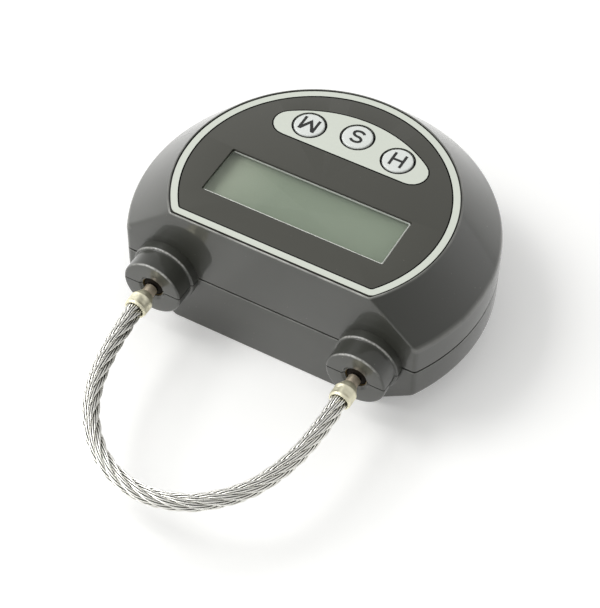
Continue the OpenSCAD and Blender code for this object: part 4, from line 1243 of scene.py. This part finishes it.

# %% [markdown]
# A clear piece would keep the light off what lies behind it, because its shadow is full and
# its bent light is too rare to find. So for shadow rays and for diffuse rays, which carry the
# light to the display, the window is plainly transparent. To the eye it stays a bending block.
# Its rounded edge and the far wall of the block are painted pale and opaque, a painted
# highlight that draws the thin bright line round the display. The display is painted a little
# paler towards its end at minus X: painted light that lifts the shade which the opening's edge casts there.

# %% Clear window and display
clear, clear_tree, clear_shader = new_finish(
    "clear_acrylic", Transmission_Weight=1.0, IOR=1.49, Metallic=0.0)
clear_surface = use(clear_tree, GRAIN, {"Grain": 900.0, "Roughness": 0.03, "Spread": 0.03})
clear_tone = use(clear_tree, TONE, {"Color": colour(244, 248, 244), "Scale": 60.0, "Strength": 0.02})
feed(clear_tree, clear_shader, Base_Color=clear_tone["Color"], Roughness=clear_surface["Roughness"])
rays = put(clear_tree, "LightPath").outputs
let_through = maths(clear_tree, "MAXIMUM", rays["Is Shadow Ray"], rays["Is Diffuse Ray"])
passing = put(clear_tree, "BsdfTransparent", {"Color": colour(246, 249, 246)})
window_mix = put(clear_tree, "MixShader", {0: let_through, 1: clear_shader.outputs[0],
                                           2: passing.outputs[0]})
clear_tree.links.new(window_mix.outputs[0], clear_tree.nodes["Material Output"].inputs[0])

# Pale opaque finish for the window's edge faces: a painted highlight in place of the light they catch.
window_painted_edge = plastic("window_painted_edge", (236, 238, 232), 0.4, tone=0.04)[0]

display_glass, tree, shader, layer_colour, _ = plastic(
    "display_layer", (156, 163, 149), 0.22, spread=0.06, grain=700.0, depth=0.001 * MM,
    tone=0.10, Specular_IOR_Level=0.5)
# Painted light: the display layer is paler towards its end at minus X, lifting the shade that the opening's
# edge casts there.
along_x = put(tree, "SeparateXYZ", {0: put(tree, "TexCoord").outputs["Object"]}).outputs[0]
even = put(tree, "MapRange", {0: along_x, 1: -15 * MM, 2: -6 * MM, 3: 0.0, 4: 1.0}).outputs[0]
feed(tree, shader, Base_Color=blend_colours(tree, even, colour(180, 184, 170), layer_colour))

# %% Give every piece its finish
slot_of = {row["node"]: row["material_slot"] for row in frame["record"]["subparts"]}
pieces_by_finish = {
    housing: [upper_shell, lower_shell], film: [face_panel], white_ink: [border_line, key_field],
    mark_ink: list(marks.values()), black_ink: [keylines], key_plastic: list(caps.values()),
    clear: [window], display_glass: [display], finishes["rope_steel"]: [rope],
    finishes["ferrule_metal"]: list(ferrules.values()),
}
by_slot = dict(finishes, shell_plastic=housing, panel_print=film, window_clear=clear,
               display_glass=display_glass, key_silver=key_plastic)
for finish, pieces in pieces_by_finish.items():
    for piece in pieces:
        piece.data.materials.clear()
        piece.data.materials.append(finish)
window.data.materials.append(window_painted_edge)
# The window's edge faces take the painted highlight.
for face in window_painted_faces(window):
    face.material_index = 1
rope.data.materials.append(strand_shade_filling)
for face in list(rope.data.polygons)[WIRE_FACES:]:
    face.material_index = 1
for name, node in frame["nodes"].items():
    for place in node.material_slots:
        place.material = by_slot[slot_of[name]]
print("finishes:", len(bpy.data.materials))

# %% [markdown]
# ## Floor and light
#
# The lock lies on a white table in soft daylight: a large soft light high on the left, which
# draws the collars' shadows to the right, a weak one low in front, a narrow strip overhead that
# draws the thin lights on the edges, and a pale room all round. The room is darker to the front
# right, which leaves that side of the cone and the collars in shade. To the eye and in
# reflections the table glows a little, so the shadows on it stay faint. Polished pieces see a
# room that is paler near the horizon than overhead, which gives the metals their contrast.

# %% Floor
FLOOR_SIZE = 3.0
FLOOR_DROP = 0.02 * MM
FLOOR_GLOW = 0.235
floor_verts = [(x * FLOOR_SIZE, y * FLOOR_SIZE, -FLOOR_DROP)
               for x, y in ((-1, -1), (1, -1), (1, 1), (-1, 1))]
floor = make_piece("floor", floor_verts, [(0, 1, 2, 3)])
paper, tree, shader = new_finish("white_table", Roughness=0.9, Specular_IOR_Level=0.1)
tint = use(tree, TONE, {"Color": colour(240, 240, 238), "Scale": 12.0, "Strength": 0.01})
feed(tree, shader, Base_Color=tint["Color"])
rays = put(tree, "LightPath").outputs
in_sight = maths(tree, "MAXIMUM", rays["Is Camera Ray"],
                 maths(tree, "MAXIMUM", rays["Is Glossy Ray"], rays["Is Transmission Ray"]))
glow = put(tree, "Emission", {"Color": (1, 1, 1, 1),
                              "Strength": maths(tree, "MULTIPLY", in_sight, FLOOR_GLOW)})
both = put(tree, "AddShader", {0: shader.outputs[0], 1: glow.outputs[0]})
tree.links.new(both.outputs[0], tree.nodes["Material Output"].inputs[0])
floor.data.materials.append(paper)

# %% Lights and world
world = bpy.data.worlds.new("pale_room")
bpy.context.scene.world = world
world.use_nodes = True
world_tree = world.node_tree
background = world_tree.nodes["Background"]
background.inputs["Color"].default_value = (1.0, 1.0, 1.0, 1.0)
WORLD_LIGHT = 0.62
ROOM_TOP = 0.6
DARK_SIDE, DARK_SIDE_LIGHT = (0.68, -0.72, 0.1), 0.5
rays = put(world_tree, "LightPath").outputs
looking = put(world_tree, "TexCoord").outputs["Generated"]
height = put(world_tree, "SeparateXYZ", {0: looking}).outputs[2]
towards_dark = put(world_tree, "VectorMath", {0: looking, 1: DARK_SIDE}, operation="DOT_PRODUCT")
dimmed = put(world_tree, "MapRange", {0: towards_dark.outputs["Value"], 1: 0.1, 2: 0.9,
                                      3: 1.0, 4: DARK_SIDE_LIGHT}).outputs[0]
room = put(world_tree, "MapRange", {0: height, 1: 0.1, 2: 0.75, 3: 1.0, 4: ROOM_TOP}).outputs[0]
in_sight = maths(world_tree, "MAXIMUM", rays["Is Camera Ray"], rays["Is Transmission Ray"])
lighting = maths(world_tree, "MULTIPLY", dimmed,
                 blend_numbers(world_tree, rays["Is Glossy Ray"], WORLD_LIGHT, room))
world_tree.links.new(blend_numbers(world_tree, in_sight, lighting, 1.0),
                     background.inputs["Strength"])


LIGHT_DISTANCE = 0.9


def area_light(name, direction, width, depth, power):
    """A soft rectangular light that faces the lock from a direction."""
    data = bpy.data.lights.new(name, "AREA")
    data.shape = "RECTANGLE"
    data.energy, data.size, data.size_y = power, width, depth
    lamp = bpy.data.objects.new(name, data)
    towards = unit(np.array(direction, float))
    side = unit(np.cross([0, 0, 1], towards))
    place = Matrix(np.column_stack([side, np.cross(towards, side), towards]).tolist()).to_4x4()
    place.translation = (towards * LIGHT_DISTANCE).tolist()
    lamp.matrix_world = place
    bpy.context.scene.collection.objects.link(lamp)
    return lamp


area_light("window_light", (-0.60, -0.175, 0.76), 0.45, 0.45, 3.8)
area_light("front_fill", (-0.45, -0.80, 0.30), 0.6, 0.6, 1.4)
area_light("edge_strip", (0.0, -0.25, 0.95), 1.1, 0.035, 0.85)
bpy.context.scene.view_settings.view_transform = "Standard"
print("lights set")
